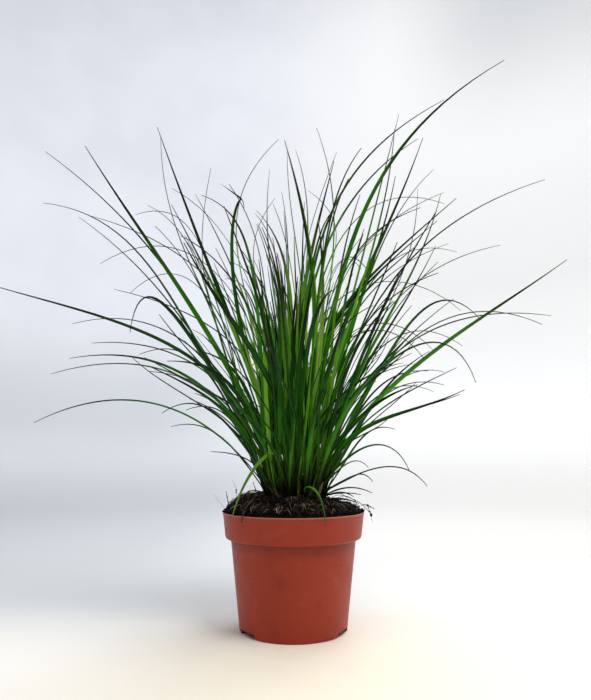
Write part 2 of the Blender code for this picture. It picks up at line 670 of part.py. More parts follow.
# ---------------------------------------------------------------- finishing
def linear_colour(code: str) -> tuple:
    """Linear red, green, blue and alpha of an sRGB hex code."""
    shares = [int(code[n:n + 2], 16) / 255 for n in (0, 2, 4)]
    return tuple(s / 12.92 if s <= 0.04045 else ((s + 0.055) / 1.055) ** 2.4
                 for s in shares) + (1.0,)


def plain_material(name: str, code: str, roughness: float) -> bpy.types.Material:
    """Principled material of one colour."""
    material = bpy.data.materials.new(name)
    material.use_nodes = True
    shader = material.node_tree.nodes["Principled BSDF"]
    shader.inputs["Base Color"].default_value = linear_colour(code)
    shader.inputs["Roughness"].default_value = roughness
    shader.inputs["Metallic"].default_value = 0.0
    return material


def terracotta_plastic() -> bpy.types.Material:
    """Brick-coloured polypropylene."""
    return plain_material("terracotta_polypropylene", "9A4029", 0.42)


def dark_peat() -> bpy.types.Material:
    """Moist black-brown peat."""
    return plain_material("dark_peat", "1E1512", 0.95)


def grass_green() -> bpy.types.Material:
    """Leaf green."""
    return plain_material("grass_leaf", "35661A", 0.5)


def finished(bm: bmesh.types.BMesh, name: str, material: bpy.types.Material | None,
             collection: bpy.types.Collection | None = None) -> bpy.types.Object:
    """Turn a mesh in millimetres into a named object in metres."""
    bmesh.ops.scale(bm, verts=bm.verts[:], vec=(MM, MM, MM))
    mesh = bpy.data.meshes.new(name)
    bm.to_mesh(mesh)
    bm.free()
    thing = bpy.data.objects.new(name, mesh)
    if material is not None:
        mesh.materials.append(material)
    (collection or bpy.data.collections["potted_grass_clump"]).objects.link(thing)
    return thing


def main() -> None:
    """Clear the scene and build the pot, the soil and the plant."""
    for thing in list(bpy.data.objects):
        bpy.data.objects.remove(thing)
    clump = bpy.data.collections.new("potted_grass_clump")
    cutters = bpy.data.collections.new("cutters")
    for collection in (clump, cutters):
        bpy.context.scene.collection.children.link(collection)
    make_pot(terracotta_plastic(), cutters)
    make_soil(dark_peat())
    green = grass_green()
    for number, tiller in enumerate(grown_tillers(), start=1):
        make_tiller(f"tiller_{number:02d}", tiller, green)


main()
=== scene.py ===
"""Looks of the potted ornamental grass clump: a tufted grass in a 13 cm nursery pot.

Sizes in the classes are in millimetres and degrees, and every mesh is turned to metres
as it is finished. The pot stands on the floor at z = 0 with its axis on the Z axis, and
the plant's front faces -Y. Each tiller of the CAD model is replaced by a foliage piece
whose blades follow the courses of that tiller's own leaves. Three bent leaves are drawn
from given points instead, and one ends sooner than its solid.
"""

import logging
import math
import random
from dataclasses import dataclass, field, replace
from enum import Enum

import bmesh
import bpy
import numpy as np
from mathutils import Matrix, Vector, noise


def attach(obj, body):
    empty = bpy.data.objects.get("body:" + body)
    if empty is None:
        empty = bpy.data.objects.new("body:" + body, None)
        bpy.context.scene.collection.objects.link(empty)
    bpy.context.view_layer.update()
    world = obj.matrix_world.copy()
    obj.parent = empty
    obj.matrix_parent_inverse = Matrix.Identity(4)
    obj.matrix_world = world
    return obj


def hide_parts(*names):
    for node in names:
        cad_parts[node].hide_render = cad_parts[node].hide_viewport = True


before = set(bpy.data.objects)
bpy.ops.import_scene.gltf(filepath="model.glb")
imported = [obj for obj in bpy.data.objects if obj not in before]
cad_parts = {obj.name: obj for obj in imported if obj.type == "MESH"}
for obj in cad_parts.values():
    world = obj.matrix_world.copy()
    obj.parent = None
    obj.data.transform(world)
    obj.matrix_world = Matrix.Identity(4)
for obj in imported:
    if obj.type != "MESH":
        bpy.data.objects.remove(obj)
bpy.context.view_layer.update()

MM = 0.001
BODY = "root"
LOG = logging.getLogger("grass_clump")
BLADE_ATTRIBUTES = ("tone", "growth", "across", "dryness", "sheath")


class Slot(Enum):
    """Names of the material slots."""

    PLASTIC = "pot_plastic"
    PEAT = "peat"
    LEAF = "leaf"


class BladeKind(Enum):
    """What a blade is to the clump."""

    LEADING = "leading"
    WITHERED = "withered"


# ---------------------------------------------------------------- shared helpers
def linear(code: str) -> tuple[float, float, float, float]:
    """Linear colour of an sRGB hex value.

    Args:
        code: Six hex digits.

    Returns:
        Red, green, blue and alpha, from 0 to 1.
    """
    shares = [int(code[n:n + 2], 16) / 255 for n in (0, 2, 4)]
    red, green, blue = (s / 12.92 if s <= 0.04045 else ((s + 0.055) / 1.055) ** 2.4
                        for s in shares)
    return red, green, blue, 1.0


def feed(node: bpy.types.Node, inputs: dict) -> None:
    """Set or link the inputs of a node.

    Args:
        node: The node.
        inputs: Input name or number to a number, an sRGB hex colour, the socket that
            feeds it, or a node whose first live output feeds it.
    """
    for name, value in inputs.items():
        if isinstance(value, bpy.types.Node):
            value = next(socket for socket in value.outputs if socket.enabled)
        if isinstance(value, bpy.types.NodeSocket):
            node.id_data.links.new(value, node.inputs[name])
        else:
            node.inputs[name].default_value = linear(value) if isinstance(value, str) else value


def add(tree: bpy.types.NodeTree, kind: str, inputs: dict | None = None,
        stops: tuple[tuple[float, str], ...] = (), **settings: str | bool) -> bpy.types.Node:
    """Add a node with its settings, and set or link its inputs.

    Args:
        tree: Node tree that gets the node.
        kind: Type of the node, without its ShaderNode prefix.
        inputs: What its inputs get, as feed takes it.
        stops: Place from 0 to 1 and hex colour of each stop, in order, if it has stops.
        settings: Attributes of the node.

    Returns:
        The new node.
    """
    node = tree.nodes.new("ShaderNode" + kind)
    for name, value in settings.items():
        setattr(node, name, value)
    for number, (place, code) in enumerate(stops):
        elements = node.color_ramp.elements
        element = elements[number] if number < 2 else elements.new(place)
        element.position, element.color = place, linear(code)
    feed(node, inputs or {})
    return node


def blank_material(name: str) -> tuple[bpy.types.Material, bpy.types.Node]:
    """New node material with only its Principled shader.

    Args:
        name: Name of the material.

    Returns:
        The material and its shader node.
    """
    material = bpy.data.materials.new(name)
    material.use_nodes = True
    return material, material.node_tree.nodes["Principled BSDF"]


def finished(bm: bmesh.types.BMesh, name: str,
             material: bpy.types.Material) -> bpy.types.Object:
    """Turn a mesh in millimetres into a finished piece in metres.

    Args:
        bm: The mesh, which is freed.
        name: Name of the piece.
        material: Its material.

    Returns:
        The piece's object, at the origin.
    """
    bmesh.ops.scale(bm, vec=(MM, MM, MM), verts=bm.verts)
    mesh = bpy.data.meshes.new(name)
    bm.to_mesh(mesh)
    bm.free()
    mesh.materials.append(material)
    mesh.shade_smooth()
    piece = bpy.data.objects.new(name, mesh)
    bpy.context.scene.collection.objects.link(piece)
    return piece


def settle(piece: bpy.types.Object, slot: Slot, *nodes: str) -> bpy.types.Object:
    """Make a piece ride on the clump's body, and report it.

    Args:
        piece: The piece.
        slot: Material slot of the piece's finish; not used.
        nodes: CAD nodes that it stands for.

    Returns:
        The same piece.
    """
    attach(piece, BODY)
    if nodes:
        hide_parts(*nodes)
    LOG.info("%s: %d faces", piece.name, len(piece.data.polygons))
    return piece


def compass(bearing: float) -> Vector:
    """Level unit vector along a bearing: 0 is right, 90 back, 180 left."""
    angle = math.radians(bearing)
    return Vector((math.cos(angle), math.sin(angle), 0.0))


# ---------------------------------------------------------------- finishes
@dataclass(frozen=True)
class Fade:
    """Even change from one share to another between two places."""

    start: float
    end: float
    first: float = 0.0
    last: float = 1.0

    def along(self, value: bpy.types.NodeSocket, unit: float = 1.0) -> dict:
        """Inputs of a Map Range node that follows the fade; unit turns its places to metres."""
        return {"Value": value, "From Min": self.start * unit, "From Max": self.end * unit,
                "To Min": self.first, "To Max": self.last}


@dataclass(frozen=True)
class GrassBladeFinish:
    """Living grass blade: thin tissue under a waxy cuticle, with parallel veins.

    The wax gives long soft highlights, and the veins and the pale midrib break them up
    lengthwise. Blades are purplish at the sheath, yellow-green where they shade one another,
    deep green above, and dull at their drying tips. Each leaf's tone holds painted light,
    and painted shade darkens the lowest part of the clump.
    """

    name: str = "living_grass_blade"
    greens: tuple[tuple[float, str], ...] = (
        (0.0, "0a2f05"), (0.25, "1f6209"), (0.5, "4a9816"), (0.76, "7bbb2e"),
        (1.0, "a8d25c"))
    base_green: str = "588c1e"
    base: Fade = Fade(0.02, 0.3, 0.75, 0.0)        # along the blade
    sheath_purple: str = "46222b"
    sheath_pale: str = "6d6a38"
    sheath_pale_place: float = 0.45
    sheath: Fade = Fade(0.0, 0.3)
    tip_dull: str = "10160b"
    tip: Fade = Fade(0.52, 0.83, 0.0, 0.94)        # a blade darkens towards its tip
    withered: tuple[tuple[float, str], ...] = (
        (0.0, "0f0a06"), (0.4, "35241a"), (0.72, "7d6443"), (1.0, "c0a98a"))
    painted_base_shade: str = "080a05"         # painted shade over the lowest part of the clump
    base_shade_height: Fade = Fade(112.0, 162.0, 0.95, 0.0)
    base_shade_tone: Fade = Fade(0.5, 0.9, 1.0, 0.3)     # light blades get less of the painted shade
    midrib: str = "5fa52c"
    midrib_side: Fade = Fade(0.08, 0.35, 0.26, 0.0)    # from the keel outwards
    vein_spacing: float = 0.5      # real veins are near 0.3 mm; drawn coarser to show
    vein_depth: float = 0.04
    vein_strength: float = 0.2
    mottle_size: float = 30.0      # broad patches of lighter and darker tissue
    mottle_detail: float = 3.0
    mottle_swing: float = 0.5      # how much of the tone they move
    roughness: float = 0.42
    ior: float = 1.45              # plant wax
    glare: float = 0.1

    def material(self) -> bpy.types.Material:
        """Build the material, which reads the blades' own attributes.

        Returns:
            The material.
        """
        material, shader = blank_material(self.name)
        tree = material.node_tree
        reads = {name: add(tree, "Attribute", attribute_name=name).outputs["Fac"]
                 for name in BLADE_ATTRIBUTES}
        place = add(tree, "TexCoord").outputs["Object"]
        height = add(tree, "SeparateXYZ", {0: place}).outputs["Z"]
        mottle = add(tree, "TexNoise", {"Vector": place, "Detail": self.mottle_detail,
                                        "Scale": 1 / (self.mottle_size * MM)})
        shift = add(tree, "Math", {0: mottle, 1: self.mottle_swing,
                                   2: -self.mottle_swing / 2}, operation="MULTIPLY_ADD")
        tone = add(tree, "Math", {0: reads["tone"], 1: shift}, operation="ADD", use_clamp=True)
        tone = tone.outputs[0]
        side = add(tree, "Math", {0: reads["across"]}, operation="ABSOLUTE").outputs[0]
        low = add(tree, "MapRange", self.base_shade_height.along(height, MM),
                  interpolation_type="SMOOTHSTEP")
        base, tip, midrib, sheath, dark = (
            add(tree, "MapRange", fade.along(value)) for fade, value in (
                (self.base, reads["growth"]), (self.tip, reads["growth"]),
                (self.midrib_side, side), (self.sheath, reads["sheath"]),
                (self.base_shade_tone, tone)))
        # painted shade: darkens the lowest part of the clump, less on light blades
        soil = add(tree, "Math", {0: low, 1: dark}, operation="MULTIPLY")
        purple = ((0.0, self.base_green), (self.sheath_pale_place, self.sheath_pale),
                  (1.0, self.sheath_purple))
        green, dry, husk = (add(tree, "ValToRGB", {0: value}, stops) for value, stops in (
            (tone, self.greens), (tone, self.withered), (reads["sheath"], purple)))
        colour = green
        for share, coat in ((base, self.base_green), (midrib, self.midrib),
                            (tip, self.tip_dull), (reads["dryness"], dry),
                            (sheath, husk), (soil, self.painted_base_shade)):
            colour = add(tree, "Mix", {0: share, 6: colour, 7: coat}, data_type="RGBA")
        wave = add(tree, "Math", {0: reads["across"], 1: 2 * math.pi / self.vein_spacing},
                   operation="MULTIPLY")
        veins = add(tree, "Math", {0: wave}, operation="SINE")
        bump = add(tree, "Bump", {"Height": veins, "Strength": self.vein_strength,
                                  "Distance": self.vein_depth * MM})
        feed(shader, {"Base Color": colour, "Normal": bump, "Roughness": self.roughness,
                      "IOR": self.ior, "Specular IOR Level": self.glare})
        return material


@dataclass(frozen=True)
class MouldedPlasticFinish:
    """Polypropylene nursery pot, injection moulded in a terracotta colour.

    The satin mould skin gives broad, soft highlights towards the sides. Peat dust dulls
    it in patches, and dark grains of peat stick to it here and there. A painted highlight
    runs along the rim's top edge, and painted shadow darkens the wall under the rim's band.
    """

    name: str = "moulded_polypropylene"
    body: str = "9c3620"
    faded: str = "a8452f"
    dust: str = "8c301d"
    patch_places: tuple[float, float, float, float] = (0.28, 0.45, 0.6, 0.8)
    speck: str = "2a1610"
    painted_rim_highlight: str = "c9705a"        # painted highlight along the rim's top edge
    rim_highlight: Fade = Fade(99.8, 100.7, 0.0, 0.75)
    painted_band_shadow: str = "6a2a1a"         # painted shadow under the rim's band
    band_shadow: Fade = Fade(68.0, 78.2, 0.0, 0.75)      # the painted shadow stops at the band's foot
    skin_grain: float = 0.9        # real mould grain is 0.2 mm; drawn coarser to show
    skin_detail: float = 2.0
    skin_depth: float = 0.05
    skin_strength: float = 0.25
    skin_shade: Fade = Fade(0.35, 0.65, 0.93, 1.07)
    dust_patch: float = 22.0
    dust_detail: float = 5.0
    dust_roughness: float = 0.6
    dull: Fade = Fade(0.3, 0.7, 0.08, -0.04)       # what the dust adds to the roughness
    speck_spacing: float = 6.0
    speck_share: float = 0.06      # radius of a speck, in spacings
    roughness: float = 0.42
    ior: float = 1.49              # polypropylene
    glare: float = 0.22            # the mould skin scatters much of its reflection

    def material(self) -> bpy.types.Material:
        """Build the material.

        Returns:
            The material.
        """
        material, shader = blank_material(self.name)
        tree = material.node_tree
        place = add(tree, "TexCoord").outputs["Object"]
        height = add(tree, "SeparateXYZ", {0: place}).outputs["Z"]
        patches = add(tree, "TexNoise", {
            "Vector": place, "Scale": 1 / (self.dust_patch * MM),
            "Detail": self.dust_detail, "Roughness": self.dust_roughness}).outputs["Fac"]
        grain = add(tree, "TexNoise", {"Vector": place, "Detail": self.skin_detail,
                                       "Scale": 1 / (self.skin_grain * MM)}).outputs["Fac"]
        cells = add(tree, "TexVoronoi", {"Vector": place,
                                         "Scale": 1 / (self.speck_spacing * MM)})
        shades = zip(self.patch_places, (self.dust, self.body, self.body, self.faded))
        colour = add(tree, "ValToRGB", {0: patches}, tuple(shades))
        fine = add(tree, "MapRange", self.skin_shade.along(grain))
        colour = add(tree, "VectorMath", {0: colour, 3: fine}, operation="SCALE")
        speck = add(tree, "Math", {0: cells, 1: self.speck_share}, operation="LESS_THAN")
        # painted highlight on the rim's top edge, and painted shadow under the band
        rim_highlight, near = (add(tree, "MapRange", fade.along(height, MM))
                       for fade in (self.rim_highlight, self.band_shadow))
        # painted shadow under the rim's band, only below the band's foot
        under = add(tree, "Math", {0: height, 1: self.band_shadow.end * MM}, operation="LESS_THAN")
        band_shadow = add(tree, "Math", {0: near, 1: under}, operation="MULTIPLY")
        for share, coat in ((speck, self.speck), (rim_highlight, self.painted_rim_highlight),
                            (band_shadow, self.painted_band_shadow)):
            colour = add(tree, "Mix", {0: share, 6: colour, 7: coat}, data_type="RGBA")
        dull = replace(self.dull, first=self.roughness + self.dull.first,
                       last=self.roughness + self.dull.last)
        gloss = add(tree, "MapRange", dull.along(patches))
        bump = add(tree, "Bump", {"Height": grain, "Strength": self.skin_strength,
                                  "Distance": self.skin_depth * MM})
        feed(shader, {"Base Color": colour, "Normal": bump, "Roughness": gloss,
                      "IOR": self.ior, "Specular IOR Level": self.glare})
        return material


@dataclass(frozen=True)
class PeatFinish:
    """Damp potting peat: dark crumbs with lighter fibrous bits, and no shine."""

    name: str = "damp_peat"
    shades: tuple[tuple[float, str], ...] = (      # wet, damp, dry, and chaff
        (0.3, "020101"), (0.5, "080503"), (0.62, "21160e"), (0.74, "6b5240"))
    lump_size: float = 3.2
    lump_detail: float = 6.0
    lump_roughness: float = 0.7
    grain_size: float = 0.9
    grain_share: float = -0.4      # of a grain's dip in the height of its lump
    depth: float = 0.6
    strength: float = 0.8
    roughness: float = 0.93
    glare: float = 0.05

    def material(self) -> bpy.types.Material:
        """Build the material.

        Returns:
            The material.
        """
        material, shader = blank_material(self.name)
        tree = material.node_tree
        place = add(tree, "TexCoord").outputs["Object"]
        lumps = add(tree, "TexNoise", {
            "Vector": place, "Scale": 1 / (self.lump_size * MM),
            "Detail": self.lump_detail, "Roughness": self.lump_roughness})
        grains = add(tree, "TexVoronoi", {"Vector": place, "Scale": 1 / (self.grain_size * MM)})
        colour = add(tree, "ValToRGB", {0: lumps}, self.shades)
        height = add(tree, "Math", {0: grains, 1: self.grain_share, 2: lumps},
                     operation="MULTIPLY_ADD")
        bump = add(tree, "Bump", {"Height": height, "Strength": self.strength,
                                  "Distance": self.depth * MM})
        feed(shader, {"Base Color": colour, "Normal": bump, "Roughness": self.roughness,
                      "Specular IOR Level": self.glare})
        return material


@dataclass(frozen=True)
class RootFibreFinish:
    """Dead roots and bark shreds in the peat: matt, from dark brown to pale tan."""

    name: str = "root_fibre"
    shades: tuple[tuple[float, str], ...] = (
        (0.0, "0f0906"), (0.4, "3a2a21"), (0.75, "8a7263"), (1.0, "cbb7a9"))
    streak_size: float = 2.5
    streak_swing: float = 0.6      # how much of the tone the streaks move
    roughness: float = 0.8

    def material(self) -> bpy.types.Material:
        """Build the material, which reads each fibre's own tone.

        Returns:
            The material.
        """
        material, shader = blank_material(self.name)
        tree = material.node_tree
        tone = add(tree, "Attribute", attribute_name="tone").outputs["Fac"]
        place = add(tree, "TexCoord").outputs["Object"]
        streaks = add(tree, "TexNoise", {"Vector": place,
                                         "Scale": 1 / (self.streak_size * MM)})
        shift = add(tree, "Math", {0: streaks, 1: self.streak_swing,
                                   2: -self.streak_swing / 2}, operation="MULTIPLY_ADD")
        mixed = add(tree, "Math", {0: tone, 1: shift}, operation="ADD", use_clamp=True)
        feed(shader, {"Base Color": add(tree, "ValToRGB", {0: mixed}, self.shades),
                      "Roughness": self.roughness})
        return material


@dataclass(frozen=True)
class Tint:
    """Colour laid over a part of the paper."""

    code: str
    fades: tuple[tuple[str, Fade], ...]    # along which axis, or round the pool of light


@dataclass(frozen=True)
class StudioPaperFinish:
    """Matt studio paper under and behind the plant; the room in front is greyer.

    The wall is cool on the left and neutral on the right, with painted shade high on its
    right and a painted warm pool of light at the pot's foot. Behind the pot painted shade
    darkens the sheet where it bends up, most on the left.
    The grey front keeps white glare off the pot and the blades.
    """

    name: str = "studio_paper"
    shades: tuple[tuple[float, str], ...] = ((0.35, "e6e9f1"), (0.65, "ebeef5"))
    tints: tuple[Tint, ...] = (
        # The wall's right, painted shade at its top there, the floor, and the painted pool of
        # light
        Tint("f1f2f3", (("X", Fade(-400, 500)),)),
        Tint("cfd1d3", (("Z", Fade(1350, 2100)), ("X", Fade(350, 950)))),
        Tint("e8e7e3", (("Y", Fade(750, 0)),)),
        Tint("f1ead9", (("pool", Fade(260, 0)),)),
        # Painted shade behind the pot: on the floor to the right and to the left, and in the
        # left bend
        Tint("d6d6d5", (("Z", Fade(300, 0)), ("Y", Fade(0, 400)), ("X", Fade(-300, 250)))),
        Tint("bcc1c5", (("Z", Fade(300, 0)), ("Y", Fade(-120, 140)), ("X", Fade(250, -300)))),
        Tint("ccd1d6", (("Z", Fade(0, 300)), ("Z", Fade(750, 250)), ("X", Fade(100, -600)))),
        # The room in front
        Tint("6d6f73", (("Y", Fade(300, -1200)), ("Z", Fade(0, 350)))))
    pool_place: tuple[float, float, float] = (20.0, -130.0, 0.0)
    patch_size: float = 260.0
    roughness: float = 0.75
    glare: float = 0.2

    def material(self) -> bpy.types.Material:
        """Build the material.

        Returns:
            The material.
        """
        material, shader = blank_material(self.name)
        tree = material.node_tree
        place = add(tree, "TexCoord").outputs["Object"]
        patches = add(tree, "TexNoise", {"Vector": place,
                                         "Scale": 1 / (self.patch_size * MM)})
        colour = add(tree, "ValToRGB", {0: patches}, self.shades)
        axes = dict(add(tree, "SeparateXYZ", {0: place}).outputs.items())
        axes["pool"] = add(tree, "VectorMath", {0: place, 1: tuple(
            value * MM for value in self.pool_place)}, operation="DISTANCE").outputs["Value"]
        for tint in self.tints:
            share = 1.0
            for axis, fade in tint.fades:
                step = add(tree, "MapRange", fade.along(axes[axis], MM),
                           interpolation_type="SMOOTHSTEP")
                share = add(tree, "Math", {0: share, 1: step}, operation="MULTIPLY")
            colour = add(tree, "Mix", {0: share, 6: colour, 7: tint.code}, data_type="RGBA")
        feed(shader, {"Base Color": colour, "Roughness": self.roughness,
                      "Specular IOR Level": self.glare})
        return material


# ---------------------------------------------------------------- courses of the leaves
@dataclass(frozen=True)
class BladeCourse:
    """The line that a leaf follows, and how it is rolled and how wide it is."""

    controls: tuple[Vector, ...]   # of a cubic, from its sheath to its tip
    first_roll: float              # radians about its line, at its sheath
    last_roll: float               # and where it is fully open
    width: float

    @property
    def level(self) -> Vector:
        """Level direction across the leaf's own way out."""
        way = self.controls[3] - self.controls[0]
        return Vector((-way.y, way.x, 0)).normalized()

    @property
    def reach(self) -> float:
        """How far out its tip is from its root."""
        return (self.controls[3] - self.controls[0]).to_2d().length

    def point(self, share: float) -> Vector:
        """Point on the line.

        Args:
            share: How far along the blade, from 0 to 1.

        Returns:
            The point.
        """
        rest = 1 - share
        root, first, second, tip = self.controls
        near = root * rest ** 3 + first * (3 * share * rest ** 2)
        return near + second * (3 * share ** 2 * rest) + tip * share ** 3

    def heading(self, share: float) -> Vector:
        """Direction of the line.

        Args:
            share: How far along the blade, from 0 to 1.

        Returns:
            Unit vector along the line.
        """
        rest = 1 - share
        root, first, second, tip = self.controls
        slope = (first - root) * rest ** 2 + (second - first) * (2 * share * rest)
        return (slope + (tip - second) * share ** 2).normalized()

    def unrolled(self, share: float) -> tuple[Vector, Vector]:
        """Directions across and square to an unrolled blade.

        Args:
            share: How far along the blade, from 0 to 1.

        Returns:
            Two unit vectors, both square to the blade's line.
        """
        heading, level = self.heading(share), self.level
        across = (level - heading * level.dot(heading)).normalized()
        return across, heading.cross(across)

    def turned(self, share: float, opening: float) -> tuple[Vector, Vector]:
        """Directions across the blade and towards its keel.

        Args:
            share: How far along the blade, from 0 to 1.
            opening: Share at which the blade has rolled to its last turn.

        Returns:
            Two unit vectors, both square to the blade's line.
        """
        part = min(1.0, share / opening)
        part = part * part * (3 - 2 * part)
        roll = self.first_roll + (self.last_roll - self.first_roll) * part
        across, square = self.unrolled(share)
        return (across * math.cos(roll) + square * math.sin(roll),
                square * math.cos(roll) - across * math.sin(roll))

    def companion(self, share: float, shift: Vector, root_shift: Vector,
                  width: float) -> "BladeCourse":
        """Course of a blade beside this one that ends sooner.

        Args:
            share: Where along this course it ends.
            shift: How far its tip stands off this course.
            root_shift: How far its root does.
            width: Its width.

        Returns:
            The new course.
        """
        root, first, second, _ = self.controls
        near = root.lerp(first, share)
        middle = near.lerp(first.lerp(second, share), share)
        controls = (root + root_shift, near + root_shift + shift * 0.15,
                    middle + shift * 0.6, self.point(share) + shift)
        return BladeCourse(controls, self.first_roll, self.last_roll, width)


@dataclass(frozen=True)
class TillerShape:
    """A tiller as its CAD solid has it."""

    foot: Vector
    top: Vector
    courses: tuple[BladeCourse, ...]


@dataclass(frozen=True)
class TillerReader:
    """Reads a tiller's sheath and the courses of its leaves from its CAD solid."""

    sheath_foot: float = 106.3     # every sheath's foot is at this height
    foot_margin: float = 0.02
    merge: float = 1e-6            # corners nearer than this, in metres, are one
    traced_shares: tuple[float, ...] = (0.0, 0.08, 0.19, 0.33, 0.49, 0.66, 0.84)
    filling_shares: tuple[float, ...] = (0.0, 0.13, 0.34, 0.57, 0.8)

    @staticmethod
    def neighbours(verts: list, barred: set) -> list:
        """Vertices one edge away from verts, in the mesh's order, without the barred ones."""
        found = {e.other_vert(v) for v in verts for e in v.link_edges}
        return sorted(found - set(verts) - barred, key=lambda v: v.index)

    @staticmethod
    def corners_of(ring: list) -> tuple[Vector, Vector, Vector]:
        """Both edges and the ridge of a three-sided section, whose width is longest.

        Args:
            ring: The section's three vertices.

        Returns:
            Left edge, right edge and ridge.
        """
        points = [v.co.copy() for v in ring]
        ridge = min(range(3), key=lambda n: -(points[n - 1] - points[n - 2]).length)
        return points[ridge - 1], points[ridge - 2], points[ridge]

    def read(self, node: str) -> TillerShape:
        """Read one tiller.

        Args:
            node: Name of its CAD node.

        Returns:
            Its shape, in millimetres.
        """
        bm = bmesh.new()
        bm.from_mesh(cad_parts[node].data)
        bmesh.ops.remove_doubles(bm, verts=bm.verts, dist=self.merge)
        bmesh.ops.scale(bm, vec=(1 / MM, 1 / MM, 1 / MM), verts=bm.verts)
        bm.verts.index_update()
        low = {v for v in bm.verts if abs(v.co.z - self.sheath_foot) < self.foot_margin}
        bottom = [v for v in bm.verts if v in low
                  and sum(e.other_vert(v) in low for e in v.link_edges) > 2]
        corners = self.neighbours(bottom, set())
        tips = [v for v in bm.verts if len(v.link_edges) == 3]
        courses = tuple(self.follow(tip, set(corners)) for tip in tips)
        foot, top = (sum((v.co for v in verts), Vector()) / len(verts)
                     for verts in (bottom, corners))
        bm.free()
        return TillerShape(foot, top, courses)

    def follow(self, tip: bmesh.types.BMVert, corners: set) -> BladeCourse:
        """Follow a leaf down from its tip to its sheath, ring by ring.

        Args:
            tip: The leaf's last vertex.
            corners: Corners of the sheath's top.

        Returns:
            The leaf's course.
        """
        seen, ring, sections = {tip}, self.neighbours([tip], set()), []
        while not corners.intersection(ring):
            sections.append(self.corners_of(ring))
            seen.update(ring)
            ring = self.neighbours(ring, seen)
        sections.append(self.corners_of(ring))
        sections.reverse()
        traced = len(sections) == len(self.traced_shares)
        shares = self.traced_shares if traced else self.filling_shares
        middles = [(left + right) / 2 for left, right, _ in sections]
        root = sum(sections[0], Vector()) / 3
        terms, wanted = [], []
        for share, middle in zip(shares[1:], middles[1:]):
            rest = 1 - share
            terms.append((3 * share * rest ** 2, 3 * share ** 2 * rest))
            wanted.append(middle - root * rest ** 3 - tip.co * share ** 3)
        first, second = np.linalg.lstsq(np.array(terms), np.array(wanted), rcond=None)[0]
        controls = (root, Vector(first), Vector(second), tip.co.copy())
        plain = BladeCourse(controls, 0.0, 0.0, 1.0)
        rolls, widths, last = [], [], None
        for share, (left, right, _) in list(zip(shares, sections))[1:]:
            edge = (right - left) if last is None or (right - left).dot(last) > 0 \
                else (left - right)
            across, square = plain.unrolled(share)
            roll = math.atan2(edge.dot(square), edge.dot(across))
            if rolls:
                roll += 2 * math.pi * round((rolls[-1] - roll) / (2 * math.pi))
            rolls.append(roll)
            widths.append(edge.length / blade_spread(share))
            last = edge
        return BladeCourse(controls, rolls[0], rolls[-1], sum(widths) / len(widths))


def blade_spread(share: float) -> float:
    """Width of the CAD's blades at a share of their length, as a share of their widest."""
    return min(1.0, 0.35 + 2.2 * share) * (1 - share ** 2.5) ** 0.9


# ---------------------------------------------------------------- foliage
@dataclass(frozen=True)
class BentLeaf:
    """A leaf that hangs over the rim or folds at its tip, drawn from its root through given
    points.
    """

    first: tuple[float, float, float]      # handles of its curve, then its tip
    second: tuple[float, float, float]
    tip: tuple[float, float, float]
    roll: float
    swell: float


LEFT_RIM_LEAF = BentLeaf((-2, -20, 186), (-42, -55, 145), (-51, -62, 98), -0.4, 1.4)
RIGHT_RIM_LEAF = BentLeaf((4, -38, 127), (26, -52, 134), (26.5, -62, 94), 0.3, 1.15)
HOOKED_LEAF = BentLeaf((-92, -30, 341), (-46.5, -45, 421), (-46, -50, 377), 1.25, 1.0)

LOST_TIP = (-32, -130, 427)        # the leaf that ends here in the solid has withered back
LOST_SHARE = 0.66                  # to this share of its length


